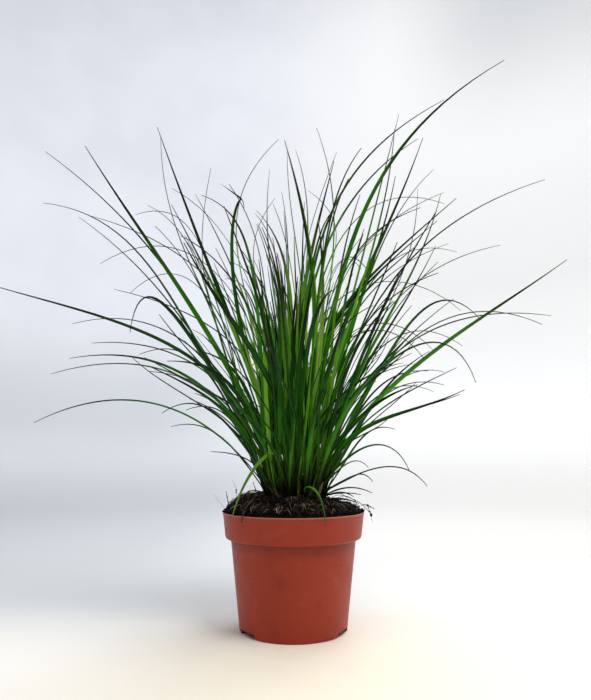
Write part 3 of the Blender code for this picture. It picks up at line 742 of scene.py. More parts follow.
@dataclass
class TillerFoliage:
    """One tiller: a sheath of rolled leaf bases that opens into long keeled blades."""

    number: int
    reader: TillerReader
    material: bpy.types.Material
    across_cells: int = 4
    along_cells: int = 30
    thickness: float = 0.28
    least_width: float = 1.45      # of a blade near its tip
    tip_width: float = 0.25
    sheath_sides: int = 10
    sheath_cuts: int = 6
    sheath_foot_radius: float = 2.1
    sheath_top_radius: float = 1.5
    sheath_tones: tuple[float, float] = (0.2, 0.8)
    sheath_bulges: tuple[float, float] = (0.9, 1.15)
    sheath_flats: tuple[float, float] = (0.72, 0.95)
    sheath_purples: tuple[float, float] = (0.55, 1.0)
    mouth_slimming: float = 0.55
    mouth_length: float = 7.0      # the blades' bases stay rolled this far above the sheath
    crown_x: float = 2.0
    crown_edge: float = 17.0       # the old leaf bases of tillers further out splay
    husks_each: int = 3
    pale_husks: float = 0.2
    pale_tones: tuple[float, float] = (0.7, 1.0)
    dark_tones: tuple[float, float] = (0.0, 0.45)
    husk_fan: float = 80.0         # degrees to either side of facing straight out
    husk_root: float = 1.5         # its root stands this far off the sheath's middle
    husk_roll: float = 0.9         # radians, either way
    husk_twist: float = 1.2
    husk_heights: tuple[float, float] = (14.0, 46.0)
    husk_widths: tuple[float, float] = (1.2, 3.4)
    edge_splay: tuple[float, float] = (2.0, 10.0)
    inner_splay: tuple[float, float] = (1.5, 5.0)
    companion_ends: tuple[float, float] = (0.5, 0.95)
    companion_widths: tuple[float, float] = (0.8, 1.3)
    companion_stray: float = 28.0
    close_reach: float = 60.0      # beside leaves that reach further they stray less
    root_stray: float = 0.6
    companion_turn: float = 0.6    # radians that its roll may differ
    low_tip: float = 300.0         # leaves whose tips are lower stand alone
    high_taper: float = 2.6        # high, far leaves narrow late
    inner_taper: float = 2.3
    low_taper: float = 2.8         # low ones keep their width for longer
    hooked_fall: float = -0.5      # a high leaf that falls this steeply at its tip is bent
    lost_margin: float = 3.0
    slender: float = 3.2           # painted light: leaves no broader than this are painted darkest,
    broad_gain: float = 0.2        # and each millimetre more lightens them by this,
    broad_most: float = 0.28       # up to this
    lit_reach: float = 165.0       # leaves that reach less far are painted lighter, as if lit
    tones: tuple[float, float] = (0.13, 1.05)      # painted light: middle tone in shade, and its gain in light
    tone_spreads: tuple[float, float] = (0.12, 0.16)
    far_tip: float = 175.0         # leaves that reach further stand alone too,
    tall_tip: float = 455.0        # and taller ones do
    inner_tip: float = 75.0
    inner_swell: float = 1.38      # the inner leaves are the broadest
    upright_swell: float = 1.0
    rim_height: float = 101.0      # leaves that end below it hang over the rim
    over_rim_tone: float = 0.7
    over_rim_growth: float = 0.5   # they are young, and green to their tips
    low_swell: float = 1.3         # low leaves are a little broader than their solids
    opening: float = 0.34          # a blade has unrolled by this share of its length
    row_power: float = 1.15        # its rows stand closer at its root
    sunk_share: float = 0.03       # this share of it stands inside the sheath,
    sunk_depth: float = 6.0        # down to this far below the sheath's mouth
    base_width: float = 0.42       # width at its root, as a share of its widest,
    widening: float = 2.4          # and how fast it widens
    taper_end: float = 0.95
    finest_power: float = 8.0      # it is at its least width until close to its tip
    keel_power: float = 1.3        # a little above 1 rounds the keel
    fold: float = 22.0             # degrees that each half is folded,
    base_fold: float = 38.0        # what its root adds, which wears off over a share of it,
    base_fold_share: float = 0.08
    tip_fold: float = 32.0         # and what its tip adds
    dry_start: float = 0.97        # most blades are dry from this share on,
    dried_start: float = 0.88      # and some from sooner
    dried_share: float = 0.12
    dry_end: float = 1.02
    husk_dryness: float = 0.85
    first_seed: int = 100
    luck: random.Random = field(init=False, repr=False)
    layers: dict = field(init=False, repr=False)

    def open_mesh(self) -> bmesh.types.BMesh:
        """Start the piece's mesh, with the blades' attributes, and its random numbers.

        Returns:
            The empty mesh.
        """
        self.luck = random.Random(self.first_seed + self.number)
        bm = bmesh.new()
        self.layers = {name: bm.verts.layers.float.new(name) for name in BLADE_ATTRIBUTES}
        return bm

    def thickened(self, bm: bmesh.types.BMesh, strips: list[bmesh.types.BMFace],
                  name: str) -> bpy.types.Object:
        """Give the blades their thickness, and finish the piece.

        Args:
            bm: The piece's mesh.
            strips: Faces of its blades.
            name: Name of the piece.

        Returns:
            The piece's object.
        """
        bmesh.ops.solidify(bm, geom=strips, thickness=self.thickness)
        bmesh.ops.recalc_face_normals(bm, faces=bm.faces[:])
        return finished(bm, name, self.material)

    def build(self) -> bpy.types.Object:
        """Build the tiller's piece and put it in its node's place.

        Returns:
            The piece's object.
        """
        node = f"tiller_{self.number:02d}"
        shape = self.reader.read(node)
        bm = self.open_mesh()
        self.wrap_sheath(bm, shape)
        lean = (shape.top - shape.foot).normalized()
        strips = []
        for course in shape.courses:
            if (course.controls[3] - Vector(LOST_TIP)).length < self.lost_margin:
                course = course.companion(LOST_SHARE, Vector(), Vector(), course.width)
            for blade in self.leaf_and_mates(course):
                strips += self.lay_blade(bm, blade, lean, self.leaf_tone(blade),
                                         BladeKind.LEADING)
        for husk in self.husks(shape):
            pale = self.luck.random() < self.pale_husks
            tone = self.luck.uniform(*(self.pale_tones if pale else self.dark_tones))
            strips += self.lay_blade(bm, husk, lean, tone, BladeKind.WITHERED)
        return settle(self.thickened(bm, strips, "grass_" + node), Slot.LEAF, node)

    def hooked(self, course: BladeCourse) -> bool:
        """Whether a high leaf's tip has folded down."""
        return (course.controls[3].z > self.low_tip
                and course.heading(0.97).z < self.hooked_fall)

    def leaf_tone(self, course: BladeCourse) -> float:
        """Lightness of a leaf, which holds painted light: upright inner leaves and broad ones
        are painted the brightest, and low or hooked ones as if shaded.

        Args:
            course: The leaf's course.

        Returns:
            Tone from 0, deep green, to 1, light green.
        """
        tip = course.controls[3]
        if tip.z < self.rim_height:
            return self.over_rim_tone
        # painted light: low and hooked leaves are painted as shaded, short-reaching and broad
        # ones as lit
        shaded = tip.z < self.low_tip or self.hooked(course)
        near = 0.0 if shaded else max(0.0, 1 - course.reach / self.lit_reach)
        broad = min(self.broad_most, max(0.0, (course.width - self.slender) * self.broad_gain))
        lit = max(near, broad) if near else 0.0
        tone = self.luck.gauss(self.tones[0] + self.tones[1] * lit,
                               self.tone_spreads[0] + self.tone_spreads[1] * lit)
        return min(1.0, max(0.0, tone))

    def husks(self, shape: TillerShape) -> list[BladeCourse]:
        """Old leaf bases that cling to the sheath, and splay at the crown's edge.

        Args:
            shape: The tiller.

        Returns:
            Their courses.
        """
        out = Vector((shape.foot.x - self.crown_x, shape.foot.y, 0))
        splay = self.edge_splay if out.length > self.crown_edge else self.inner_splay
        facing = math.degrees(math.atan2(out.y, out.x))
        rise = (shape.top - shape.foot).normalized()
        made = []
        for _ in range(self.husks_each):
            way = compass(facing + self.luck.uniform(-self.husk_fan, self.husk_fan))
            height = self.luck.uniform(*self.husk_heights)
            root = shape.foot + way * self.husk_root
            tip = root + rise * height + way * self.luck.uniform(*splay)
            first = root + rise * (height * self.luck.uniform(0.4, 0.6))
            second = root.lerp(tip, 0.7) + rise * (height * self.luck.uniform(0.1, 0.25))
            roll = self.luck.uniform(-self.husk_roll, self.husk_roll)
            twist = self.luck.uniform(-self.husk_twist, self.husk_twist)
            made.append(BladeCourse((root, first, second, tip), roll, roll + twist,
                                    self.luck.uniform(*self.husk_widths)))
        return made

    def leaf_and_mates(self, course: BladeCourse) -> list[BladeCourse]:
        """A leaf's blade, and shorter blades beside an upright one, within its reach.

        Args:
            course: The leaf's course, as its solid has it.

        Returns:
            The courses of the blades.
        """
        tip = course.controls[3]
        hooked = self.hooked(course)
        if tip.z < self.rim_height or hooked:
            leaf = RIGHT_RIM_LEAF if tip.x > 0 else LEFT_RIM_LEAF
            leaf = HOOKED_LEAF if hooked else leaf
            drawn = (Vector(point) for point in (leaf.first, leaf.second, leaf.tip))
            return [replace(course, controls=(course.controls[0], *drawn), first_roll=0.0,
                            last_roll=leaf.roll, width=course.width * leaf.swell)]
        if tip.z < self.low_tip:
            return [replace(course, width=course.width * self.low_swell)]
        inner = course.reach < self.inner_tip
        swell = self.inner_swell if inner else self.upright_swell
        blades = [replace(course, width=course.width * swell)]
        alone = course.reach > self.far_tip or tip.z > self.tall_tip
        for _ in range(0 if alone else self.luck.choice((1, 1, 2))):
            share = self.luck.uniform(*self.companion_ends)
            across, keel = course.turned(share, self.opening)
            stray = self.companion_stray * min(1.0, self.close_reach
                                               / (course.reach + self.close_reach / 2))
            shift = (across * self.luck.uniform(-stray, stray)
                     + keel * self.luck.uniform(-stray, stray))
            root_shift = compass(self.luck.uniform(0, 360)) * self.root_stray
            width = course.width * self.luck.uniform(*self.companion_widths)
            mate = course.companion(share, shift, root_shift, width)
            turn = self.luck.uniform(-self.companion_turn, self.companion_turn)
            blades.append(replace(mate, last_roll=mate.last_roll + turn))
        return blades

    def lay_blade(self, bm: bmesh.types.BMesh, course: BladeCourse, lean: Vector,
                  tone: float, kind: BladeKind) -> list[bmesh.types.BMFace]:
        """Lay one blade along its course, as a keeled strip that narrows to a fine tip.

        Args:
            bm: Mesh that gets the blade.
            course: The blade's course.
            lean: Direction of its sheath.
            tone: Its lightness.
            kind: What it is to the clump.

        Returns:
            The strip's faces, which have no thickness yet.
        """
        grid = bmesh.ops.create_grid(bm, x_segments=self.across_cells,
                                     y_segments=self.along_cells, size=1)["verts"]
        dried = self.luck.random()
        fresh = course.controls[3].z < self.rim_height
        rows: dict[float, tuple] = {}
        for vert in grid:
            side, along = vert.co.x, (vert.co.y + 1) / 2
            key = round(along, 6)
            if key not in rows:
                rows[key] = self.row(course, lean, along)
            middle, across, keel, half, fold = rows[key]
            reach = side * half
            depth = abs(side) ** self.keel_power * half
            vert.co = (middle + across * (reach * math.cos(fold))
                       + keel * ((half / 2 - depth) * math.sin(fold)))
            vert[self.layers["tone"]] = tone
            vert[self.layers["growth"]] = along * (self.over_rim_growth if fresh else 1.0)
            vert[self.layers["across"]] = reach
            start = self.dry_start if dried > self.dried_share else self.dried_start
            dry = min(1.0, max(0.0, (along - start) / (self.dry_end - start)))
            if kind is BladeKind.WITHERED:
                dry = self.husk_dryness
            vert[self.layers["dryness"]] = dry
            vert[self.layers["sheath"]] = 0.0
        faces = {f for v in grid for f in v.link_faces}
        return sorted(faces, key=lambda f: f.calc_center_median().z)

    def row(self, course: BladeCourse, lean: Vector, along: float) -> tuple:
        """Place, directions, half width and fold of a blade at one of its rows.

        The first rows stay inside the sheath, along its own direction.

        Args:
            course: The blade's course.
            lean: Direction of its sheath.
            along: Share of the way from the first row to the tip.

        Returns:
            Middle, direction across, direction to the keel, half width, fold in radians.
        """
        share = along ** self.row_power
        middle = course.point(share)
        across, keel = course.turned(share, self.opening)
        sunk = max(0.0, 1 - share / self.sunk_share)
        middle = middle - lean * (self.sunk_depth * sunk)
        opened = min(1.0, self.base_width + self.widening * share)
        taper = self.inner_taper if course.reach < self.inner_tip else self.high_taper
        taper = self.low_taper if course.controls[3].z < self.low_tip else taper
        narrowed = (1 - share ** taper) ** self.taper_end
        finest = (self.least_width
                  + (self.tip_width - self.least_width) * share ** self.finest_power)
        half = max(finest, course.width * opened * narrowed) / 2
        fold = math.radians(self.fold + self.base_fold * math.exp(-share / self.base_fold_share)
                            + self.tip_fold * (1 - narrowed))
        return middle, across, keel, half, fold

    def wrap_sheath(self, bm: bmesh.types.BMesh, shape: TillerShape) -> None:
        """Add the sheath, a closed stem that bulges at its foot and slims at its mouth.

        Args:
            bm: Mesh that gets it, still empty.
            shape: The tiller.
        """
        made = bmesh.ops.create_cone(bm, cap_ends=True, segments=self.sheath_sides,
                                     radius1=1, radius2=1, depth=1)["verts"]
        sides = {e for v in made for e in v.link_edges
                 if abs(e.verts[0].co.z - e.verts[1].co.z) > 0.5}
        bmesh.ops.subdivide_edges(bm, edges=list(sides), cuts=self.sheath_cuts,
                                  use_grid_fill=True)
        rise = shape.top - shape.foot
        height = rise.length
        mouth = 1 + self.mouth_length / height
        tone, bulge, flat, turn, purple = (
            self.luck.uniform(*span) for span in (
                self.sheath_tones, self.sheath_bulges, self.sheath_flats, (0, math.pi),
                self.sheath_purples))
        long_way = Vector((math.cos(turn), math.sin(turn), 0))
        for vert in bm.verts:
            share = vert.co.z + 0.5
            along = share * mouth
            radius = self.sheath_foot_radius * bulge
            radius += (self.sheath_top_radius - radius) * min(1.0, along) ** 0.8
            if along > 1:
                radius *= 1 - self.mouth_slimming * ((along - 1) / (mouth - 1)) ** 1.4
            spoke = Vector((vert.co.x, vert.co.y, 0)) * radius
            spoke -= long_way * spoke.dot(long_way) * (1 - flat)
            vert.co = shape.foot + rise * along + spoke
            vert[self.layers["tone"]] = tone
            vert[self.layers["growth"]] = 0.0
            vert[self.layers["across"]] = spoke.dot(long_way)
            vert[self.layers["sheath"]] = max(0.0, (1 - share) ** 1.2) * purple


@dataclass(frozen=True)
class LowShoot:
    """A short blade at the clump's foot, drawn over the soil."""

    controls: tuple[tuple[float, float, float], ...]
    width: float
    tone: float


LOW_SHOOTS = (
    LowShoot(((20, -6, 112), (32, -8, 118.5), (48, -9, 119.5), (62, -8, 116.4)), 2.6, 0.2),
    LowShoot(((22, -10, 112), (40, -11, 124), (56, -12, 126.5), (72, -12, 118.0)), 1.9, 0.05),
    LowShoot(((22, -14, 110), (36, -17, 115.5), (48, -18, 114.5), (59, -16, 109)), 2.8, 0.3),
    LowShoot(((26, 6, 112), (36, 4, 118), (47, 2, 121), (56, 0, 114)), 1.6, 0.1),
    LowShoot(((-16, -25, 112), (-8, -35, 117), (4, -37, 117.5), (14, -31, 112)), 2.6, 0.25),
    LowShoot(((-18, -27, 112), (-15, -30, 141), (-4, -33, 143), (6, -31, 133)), 1.0, 0.4),
    LowShoot(((8, -28, 112), (14, -33, 119), (20, -38, 119), (26, -40, 111)), 2.0, 0.35),
    LowShoot(((-22, 12, 112), (-33, 16, 121), (-42, 20, 121), (-48, 22, 114)), 2.0, 0.2),
    LowShoot(((4, 26, 112), (8, 38, 121), (12, 46, 119), (14, 52, 110.5)), 2.2, 0.3),
)


@dataclass
class LowShoots(TillerFoliage):
    """Short and broken blades that lie over the soil round the clump's foot."""

    rolls: tuple[float, float] = (0.4, 0.9)
    first_roll: float = 0.2

    def build(self) -> bpy.types.Object:
        """Build them all as one piece.

        Returns:
            The piece's object.
        """
        bm = self.open_mesh()
        strips = []
        for shoot in LOW_SHOOTS:
            course = BladeCourse(tuple(Vector(c) for c in shoot.controls), self.first_roll,
                                 self.luck.uniform(*self.rolls), shoot.width)
            strips += self.lay_blade(bm, course, Vector((0, 0, 1)), shoot.tone,
                                     BladeKind.LEADING)
        return settle(self.thickened(bm, strips, "low_shoots"), Slot.LEAF)


# ---------------------------------------------------------------- soil
@dataclass(frozen=True)
class Strand:
    """One twig or root that stands out from the soil, with crumbs stuck along it."""

    points: tuple[tuple[float, float, float], ...]
    width: float
    tone: float                    # from dark to pale
    crumbs: tuple[tuple[float, float], ...] = ()   # share along it, and size

    def line(self, steps: int) -> list[Vector]:
        """Smooth line through the strand's points.

        Args:
            steps: Steps between one point and the next.

        Returns:
            Points along the line.
        """
        fixed = [Vector(p) for p in self.points]
        fixed = [fixed[0] * 2 - fixed[1], *fixed, fixed[-1] * 2 - fixed[-2]]
        made = []
        for before, start, end, after in zip(fixed, fixed[1:], fixed[2:], fixed[3:]):
            near, far = (end - before) / 2, (after - start) / 2
            for step in range(steps):
                t = step / steps
                made.append(start * (2 * t ** 3 - 3 * t ** 2 + 1)
                            + near * (t ** 3 - 2 * t ** 2 + t)
                            + end * (3 * t ** 2 - 2 * t ** 3) + far * (t ** 3 - t ** 2))
        return made + [fixed[-2]]


# Twigs and roots that show in the photograph, placed from it
STANDING_STRANDS = (
    Strand(((-59.5, 0, 105), (-61.2, 0, 111), (-62.8, 0, 118.5)), 0.8, 0.05,
           ((0.45, 1.4), (0.72, 1.9), (0.85, 1.6), (1.0, 1.3))),
    Strand(((-51.5, -2, 110), (-53, -2, 117), (-53.6, -2, 122), (-57, -2, 129.5)), 0.32, 0.3,
           ((0.42, 2.0), (0.5, 2.4), (0.6, 1.8))),
    Strand(((-33.5, -4, 113), (-34.6, -4, 119), (-37.4, -4, 127)), 1.05, 0.12,
           ((0.55, 1.3), (0.95, 1.5))),
    Strand(((-44, -6, 114), (-41.2, -6, 120), (-38.5, -6, 125.5)), 0.24, 0.85),
    Strand(((-63, -3, 103.5), (-67.5, -3, 108), (-74.5, -3, 117.5)), 0.3, 0.75),
    Strand(((-31, -8, 114), (-28.5, -9, 119.6), (-24.5, -9, 120.6), (-21, -9, 117)), 0.8, 0.0,
           ((0.3, 1.8), (0.5, 2.2), (0.62, 2.6), (0.8, 2.2))),
    Strand(((-27, -10, 114), (-25, -11, 118), (-22, -11, 116)), 1.0, 0.05,
           ((0.2, 2.4), (0.5, 2.8), (0.9, 2.6))),
)
OVERHANGING_STRANDS = (
    Strand(((-37, -43, 107), (-40, -47.4, 105.4), (-42.5, -51, 101.6), (-43.2, -52.2, 97.2)),
           1.0, 0.35, ((0.3, 2.2), (0.6, 1.6), (0.85, 1.4), (1.0, 1.6))),
    Strand(((-39, -42, 108.5), (-42.2, -48.2, 104.4), (-44, -50.6, 101.4), (-43, -51.6, 98.6)),
           0.7, 0.55, ((0.5, 1.4),)),
    Strand(((34, -6, 112.5), (40, -7, 116), (48, -8, 115), (60, -8, 109.8), (67.4, -7, 103.4),
            (70.6, -7, 99.8), (71.2, -7, 96), (72.4, -7, 92)), 0.75, 0.12,
           ((0.62, 1.4), (0.7, 1.8), (0.74, 3.0), (0.78, 2.6), (0.8, 2.2))),
    Strand(((62, -5, 106.6), (66, -5, 107.4), (70, -5, 105.8), (74.4, -5, 103.8)), 0.9, 0.05,
           ((0.3, 1.6), (0.45, 2.2), (0.55, 3.2), (0.62, 2.4), (0.75, 2.2), (0.95, 1.7))),
    Strand(((68, -5, 106.4), (69.4, -6, 103), (70.4, -7, 100)), 0.5, 0.1,
           ((0.3, 1.6), (0.8, 2.4))),
    Strand(((31, -9, 114), (38, -12, 118), (45, -12, 117), (50, -12, 112.5)), 0.5, 0.1),
    Strand(((36, -12, 113), (47, -14, 115.6), (55, -14, 112), (58, -14, 107.6)), 0.6, 0.1,
           ((0.4, 1.6), (0.75, 1.8))),
)


@dataclass
class SoilHeap:
    """Root ball and the peat heaped round the crown, filling the pot."""

    peat: bpy.types.Material
    fibre: bpy.types.Material
    sides: int = 132
    rings: int = 46
    wall_line: tuple[tuple[float, float], ...] = (
        (46.74, 6.9), (54.98, 79.5), (59.98, 81.46), (62.78, 100.0))
    left_line: tuple[tuple[float, float], ...] = (
        (62.78, 102.4), (60.5, 106.2), (56.0, 109.6), (52.4, 112.4), (48.5, 114.6),
        (44.0, 115.8), (30.0, 116.0), (0.0, 116.2))
    right_line: tuple[tuple[float, float], ...] = (
        (62.78, 101.6), (60.0, 104.2), (56.0, 106.0), (50.0, 107.8), (44.0, 109.2),
        (38.0, 110.6), (28.0, 112.8), (0.0, 116.2))
    crumb_count: int = 1500
    clod_count: int = 230
    rim_crumb_count: int = 150
    wall_crumb_count: int = 46
    fibre_count: int = 640
    shred_count: int = 120
    lumps: tuple[tuple[float, float, tuple[float, float, float]], ...] = (
        (9.0, 2.0, (0, 0, 0)), (3.8, 2.0, (7, 3, 1)), (1.7, 1.3, (2, 9, 4)))
    calm_radius: float = 64.5      # towards the wall the lumps get lower,
    calm_width: float = 9.0
    calm_share: float = 0.25       # down to this share of their height
    clod_sizes: tuple[float, float] = (2.6, 5.2)
    least_crumb: float = 0.6
    most_crumb: float = 3.0
    crumb_rate: float = 1.5        # the higher, the fewer large crumbs
    clod_sunk: float = -0.15       # of its size that a clod stands above the surface
    crumb_sunk: float = 0.2
    rim_height: float = 101.0
    rim_bearings: tuple[int, int] = (0, 180)       # crumbs heap on the rim at both sides,
    rim_spread: float = 20.0                       # within about this many degrees
    heaped_sizes: tuple[float, float] = (1.0, 2.8)
    heaped_radii: tuple[float, float] = (62.6, 65.2)
    heaped_rises: tuple[float, float] = (0.0, 1.6)
    strewn_sizes: tuple[float, float] = (0.6, 1.6)     # the others lie singly
    strewn_radii: tuple[float, float] = (62.6, 63.8)
    band_heights: tuple[float, float] = (80.0, 98.0)   # where crumbs stick to the pot
    wall_heights: tuple[float, float] = (5.0, 76.0)
    stuck_sizes: tuple[float, float] = (0.5, 1.2)
    crumb_breadths: tuple[float, float] = (0.5, 0.9)   # shares of a crumb's length
    crumb_depths: tuple[float, float] = (0.45, 0.8)
    crumb_tilt: float = 0.9        # radians, either way
    crumb_dent: float = 0.28
    shred_widths: tuple[float, float] = (0.4, 0.8)
    shred_lengths: tuple[float, float] = (5.0, 11.0)
    fibre_widths: tuple[float, float] = (0.16, 0.42)
    fibre_lengths: tuple[float, float] = (3.0, 12.0)
    fibre_lifts: tuple[float, float] = (0.5, 2.6)
    fibre_fan: float = 40.0        # degrees that its way strays from round the crown
    band_face: tuple[float, float, float] = (78.3, 62.1, 0.13)     # foot, radius there, slope
    wall_face: tuple[float, float, float] = (0.0, 48.1, 0.1175)
    wall_clear: float = 62.2
    line_steps: int = 5
    fibre_steps: int = 9
    fibre_curl: float = 22.0       # degrees that a fibre turns at each step, at most,
    fibre_wander: float = 20.0     # and that it strays from that
    seed: int = 5
    luck: random.Random = field(init=False, repr=False)

    @staticmethod
    def height_on(line: tuple[tuple[float, float], ...], radius: float) -> float:
        """Height of a line of the heap.

        Args:
            line: Radius and height of its corners, from the wall inwards.
            radius: Where the height is read.

        Returns:
            The height.
        """
        for (outer, low), (inner, high) in zip(line, line[1:]):
            if radius >= inner:
                return low + (high - low) * min(1.0, (outer - radius) / (outer - inner))
        return line[-1][1]

    def slope(self, x: float, radius: float) -> float:
        """Height of the even heap, which stands higher on the left.

        Args:
            x: How far to the right of the pot's axis.
            radius: How far from it in all.

        Returns:
            The height.
        """
        right = 0.5 + 0.5 * x / max(radius, 1.0)
        return (self.height_on(self.left_line, radius) * (1 - right)
                + self.height_on(self.right_line, radius) * right)

    def surface(self, x: float, y: float) -> float:
        """Height of the heap's rough surface.

        Args:
            x: How far to the right of the pot's axis.
            y: How far behind it.

        Returns:
            The height.
        """
        radius = math.hypot(x, y)
        edge = min(1.0, max(0.0, (self.calm_radius - radius) / self.calm_width))
        spot = Vector((x, y, 0))
        rough = sum(noise.noise(spot / size + Vector(shift)) * height
                    for size, height, shift in self.lumps)
        return self.slope(x, radius) + rough * (self.calm_share + (1 - self.calm_share) * edge)

    def build(self) -> list[bpy.types.Object]:
        """Build the heap, its crumbs and its fibres."""
        self.luck = random.Random(self.seed)
        return [self.build_body(), self.build_crumbs(), self.build_fibres()]

    def build_body(self) -> bpy.types.Object:
        """The closed body of soil, turned from its outline and then roughened.

        Returns:
            The heap's object.
        """
        bm = bmesh.new()
        outline = [(0.0, self.wall_line[0][1])] + list(self.wall_line)
        steps = np.linspace(self.wall_line[-1][0], 0, self.rings)
        outline += [(float(r), self.slope(0.0, float(r))) for r in steps]
        verts = [bm.verts.new((r, 0, z)) for r, z in outline]
        edges = [bm.edges.new(pair) for pair in zip(verts, verts[1:])]
        bmesh.ops.spin(bm, geom=verts + edges, cent=(0, 0, 0), axis=(0, 0, 1),
                       angle=2 * math.pi, steps=self.sides, use_merge=True)
        bmesh.ops.remove_doubles(bm, verts=bm.verts, dist=0.01)
        for vert in bm.verts:
            radius = vert.co.to_2d().length
            if vert.co.z > self.wall_line[-1][1] + 0.2 or radius < 1 and vert.co.z > 50:
                vert.co.z = self.surface(vert.co.x, vert.co.y)
        bmesh.ops.recalc_face_normals(bm, faces=bm.faces[:])
        piece = finished(bm, "soil_heap", self.peat)
        return settle(piece, Slot.PEAT, "soil")

    def spot(self, least: float) -> Vector:
        """A place on the heap, seen from above, past a share of its radius."""
        radius = (self.wall_clear - 0.4) * math.sqrt(self.luck.uniform(least, 1.0))
        return compass(self.luck.uniform(0, 360)) * radius

    def build_crumbs(self) -> bpy.types.Object:
        """Loose crumbs and clods on the heap, on the strands, and stuck to the pot.

        Returns:
            The object that holds them all.
        """
        bm = bmesh.new()
        for number in range(self.crumb_count + self.clod_count):
            spot = self.spot(0.03)
            clod = number < self.clod_count
            size = self.luck.uniform(*self.clod_sizes) if clod else min(
                self.most_crumb, self.least_crumb + self.luck.expovariate(self.crumb_rate))
            above = self.clod_sunk if clod else self.crumb_sunk
            height = self.surface(spot.x, spot.y) + size * above
            self.drop_crumb(bm, Vector((spot.x, spot.y, height)), size)
        for strand in STANDING_STRANDS + OVERHANGING_STRANDS:
            line = strand.line(self.line_steps)
            for share, size in strand.crumbs:
                self.drop_crumb(bm, line[round(share * (len(line) - 1))], size)
        for number in range(self.rim_crumb_count):
            heaped = number % 2
            bearing = self.luck.gauss(self.luck.choice(self.rim_bearings), self.rim_spread) \
                if heaped else self.luck.uniform(0, 360)
            size = self.luck.uniform(*(self.heaped_sizes if heaped else self.strewn_sizes))
            radii = self.heaped_radii if heaped else self.strewn_radii
            place = compass(bearing) * self.luck.uniform(*radii)
            height = (self.rim_height + size * self.crumb_sunk
                      + (self.luck.uniform(*self.heaped_rises) if heaped else 0.0))
            self.drop_crumb(bm, place + Vector((0, 0, height)), size)
        for _ in range(self.wall_crumb_count):
            height = self.luck.choice((self.luck.uniform(*self.band_heights),
                                       self.luck.uniform(*self.wall_heights)))
            on_band = height > self.band_face[0]
            foot, radius, slope = self.band_face if on_band else self.wall_face
            radius += (height - foot) * slope
            place = compass(self.luck.uniform(0, 360)) * radius
            self.drop_crumb(bm, place + Vector((0, 0, height)),
                            self.luck.uniform(*self.stuck_sizes))
        piece = finished(bm, "peat_crumbs", self.peat)
        return settle(piece, Slot.PEAT)

    def drop_crumb(self, bm: bmesh.types.BMesh, place: Vector, size: float) -> None:
        """Add one rough crumb.

        Args:
            bm: Mesh that gets it.
            place: Its middle.
            size: Its longest way across.
        """
        made = bmesh.ops.create_icosphere(bm, subdivisions=1, radius=size / 2)["verts"]
        squash = Matrix.Diagonal((1, self.luck.uniform(*self.crumb_breadths),
                                  self.luck.uniform(*self.crumb_depths)))
        spin = (Matrix.Rotation(self.luck.uniform(0, 6.28), 3, "Z")
                @ Matrix.Rotation(self.luck.uniform(-self.crumb_tilt, self.crumb_tilt), 3, "X"))
        for vert in made:
            dent = 1 + self.luck.uniform(-self.crumb_dent, self.crumb_dent)
            vert.co = place + spin @ (squash @ (vert.co * dent))

    def build_fibres(self) -> bpy.types.Object:
        """Curly dead roots and bark shreds over the heap, and the standing strands.

        Returns:
            The object that holds them all.
        """
        bm = bmesh.new()
        tones = bm.verts.layers.float.new("tone")
        for number in range(self.fibre_count + self.shred_count):
            shred = number < self.shred_count
            spot = self.spot(0.62 if shred else 0.12)
            width = self.luck.uniform(*(self.shred_widths if shred else self.fibre_widths))
            length = self.luck.uniform(*(self.shred_lengths if shred else self.fibre_lengths))
            lift = self.luck.uniform(*self.fibre_lifts)
            self.lay_fibre(bm, tones, spot, length, width, lift)
        for strand in STANDING_STRANDS + OVERHANGING_STRANDS:
            draw_thread(bm, tones, strand.line(self.line_steps), strand.width, strand.tone)
        piece = finished(bm, "root_fibres", self.fibre)
        return settle(piece, Slot.PEAT)

    def lay_fibre(self, bm: bmesh.types.BMesh, tones: bmesh.types.BMLayerItem,
                  start: Vector, length: float, width: float, lift: float) -> None:
        """Add one fibre, a thin curled thread that arches off the soil.

        Args:
            bm: Mesh that gets it.
            tones: Layer of the threads' tones.
            start: Where it starts, from above.
            length: Its length.
            width: Its thickness at its middle.
            lift: How high it arches.
        """
        around = math.degrees(math.atan2(start.y, start.x)) + self.luck.choice((-90, 90))
        spot, way = start.copy(), self.luck.gauss(around, self.fibre_fan)
        curl = self.luck.uniform(-self.fibre_curl, self.fibre_curl)
        points = []
        for step in range(self.fibre_steps + 1):
            arch = math.sin(math.pi * step / self.fibre_steps) * lift
            points.append(Vector((spot.x, spot.y, self.surface(spot.x, spot.y) + 0.2 + arch)))
            way += curl + self.luck.uniform(-self.fibre_wander, self.fibre_wander)
            ahead = spot + compass(way) * (length / self.fibre_steps)
            if ahead.length > self.wall_clear:
                way += 180
                ahead = spot + compass(way) * (length / self.fibre_steps)
            spot = ahead
        draw_thread(bm, tones, points, width, self.luck.random() ** 1.7)


def draw_thread(bm: bmesh.types.BMesh, tones: bmesh.types.BMLayerItem,
                points: list[Vector], width: float, tone: float) -> None:
    """Add a closed three-sided thread along points, finer at both ends.

    Args:
        bm: Mesh that gets it.
        tones: Layer of the threads' tones.
        points: Where it runs.
        width: Its thickness at its middle.
        tone: Its lightness.
    """
    sides = 3
    made = bmesh.ops.create_circle(bm, cap_ends=True, segments=sides, radius=1)["verts"]
    face = made[0].link_faces[0]
    last = len(points) - 1
    for number, point in enumerate(points):
        if number:
            face = bmesh.ops.extrude_discrete_faces(bm, faces=[face])["faces"][0]
        ahead = points[min(last, number + 1)] - points[max(0, number - 1)]
        side = ahead.cross(Vector((0.3, 0.2, 1))).normalized()
        up = side.cross(ahead).normalized()
        radius = width / 2 * (0.45 + 0.55 * math.sin(math.pi * number / last))
        for corner, vert in enumerate(face.verts):
            turn = 2 * math.pi * corner / sides
            vert.co = point + (side * math.cos(turn) + up * math.sin(turn)) * radius
            vert[tones] = tone


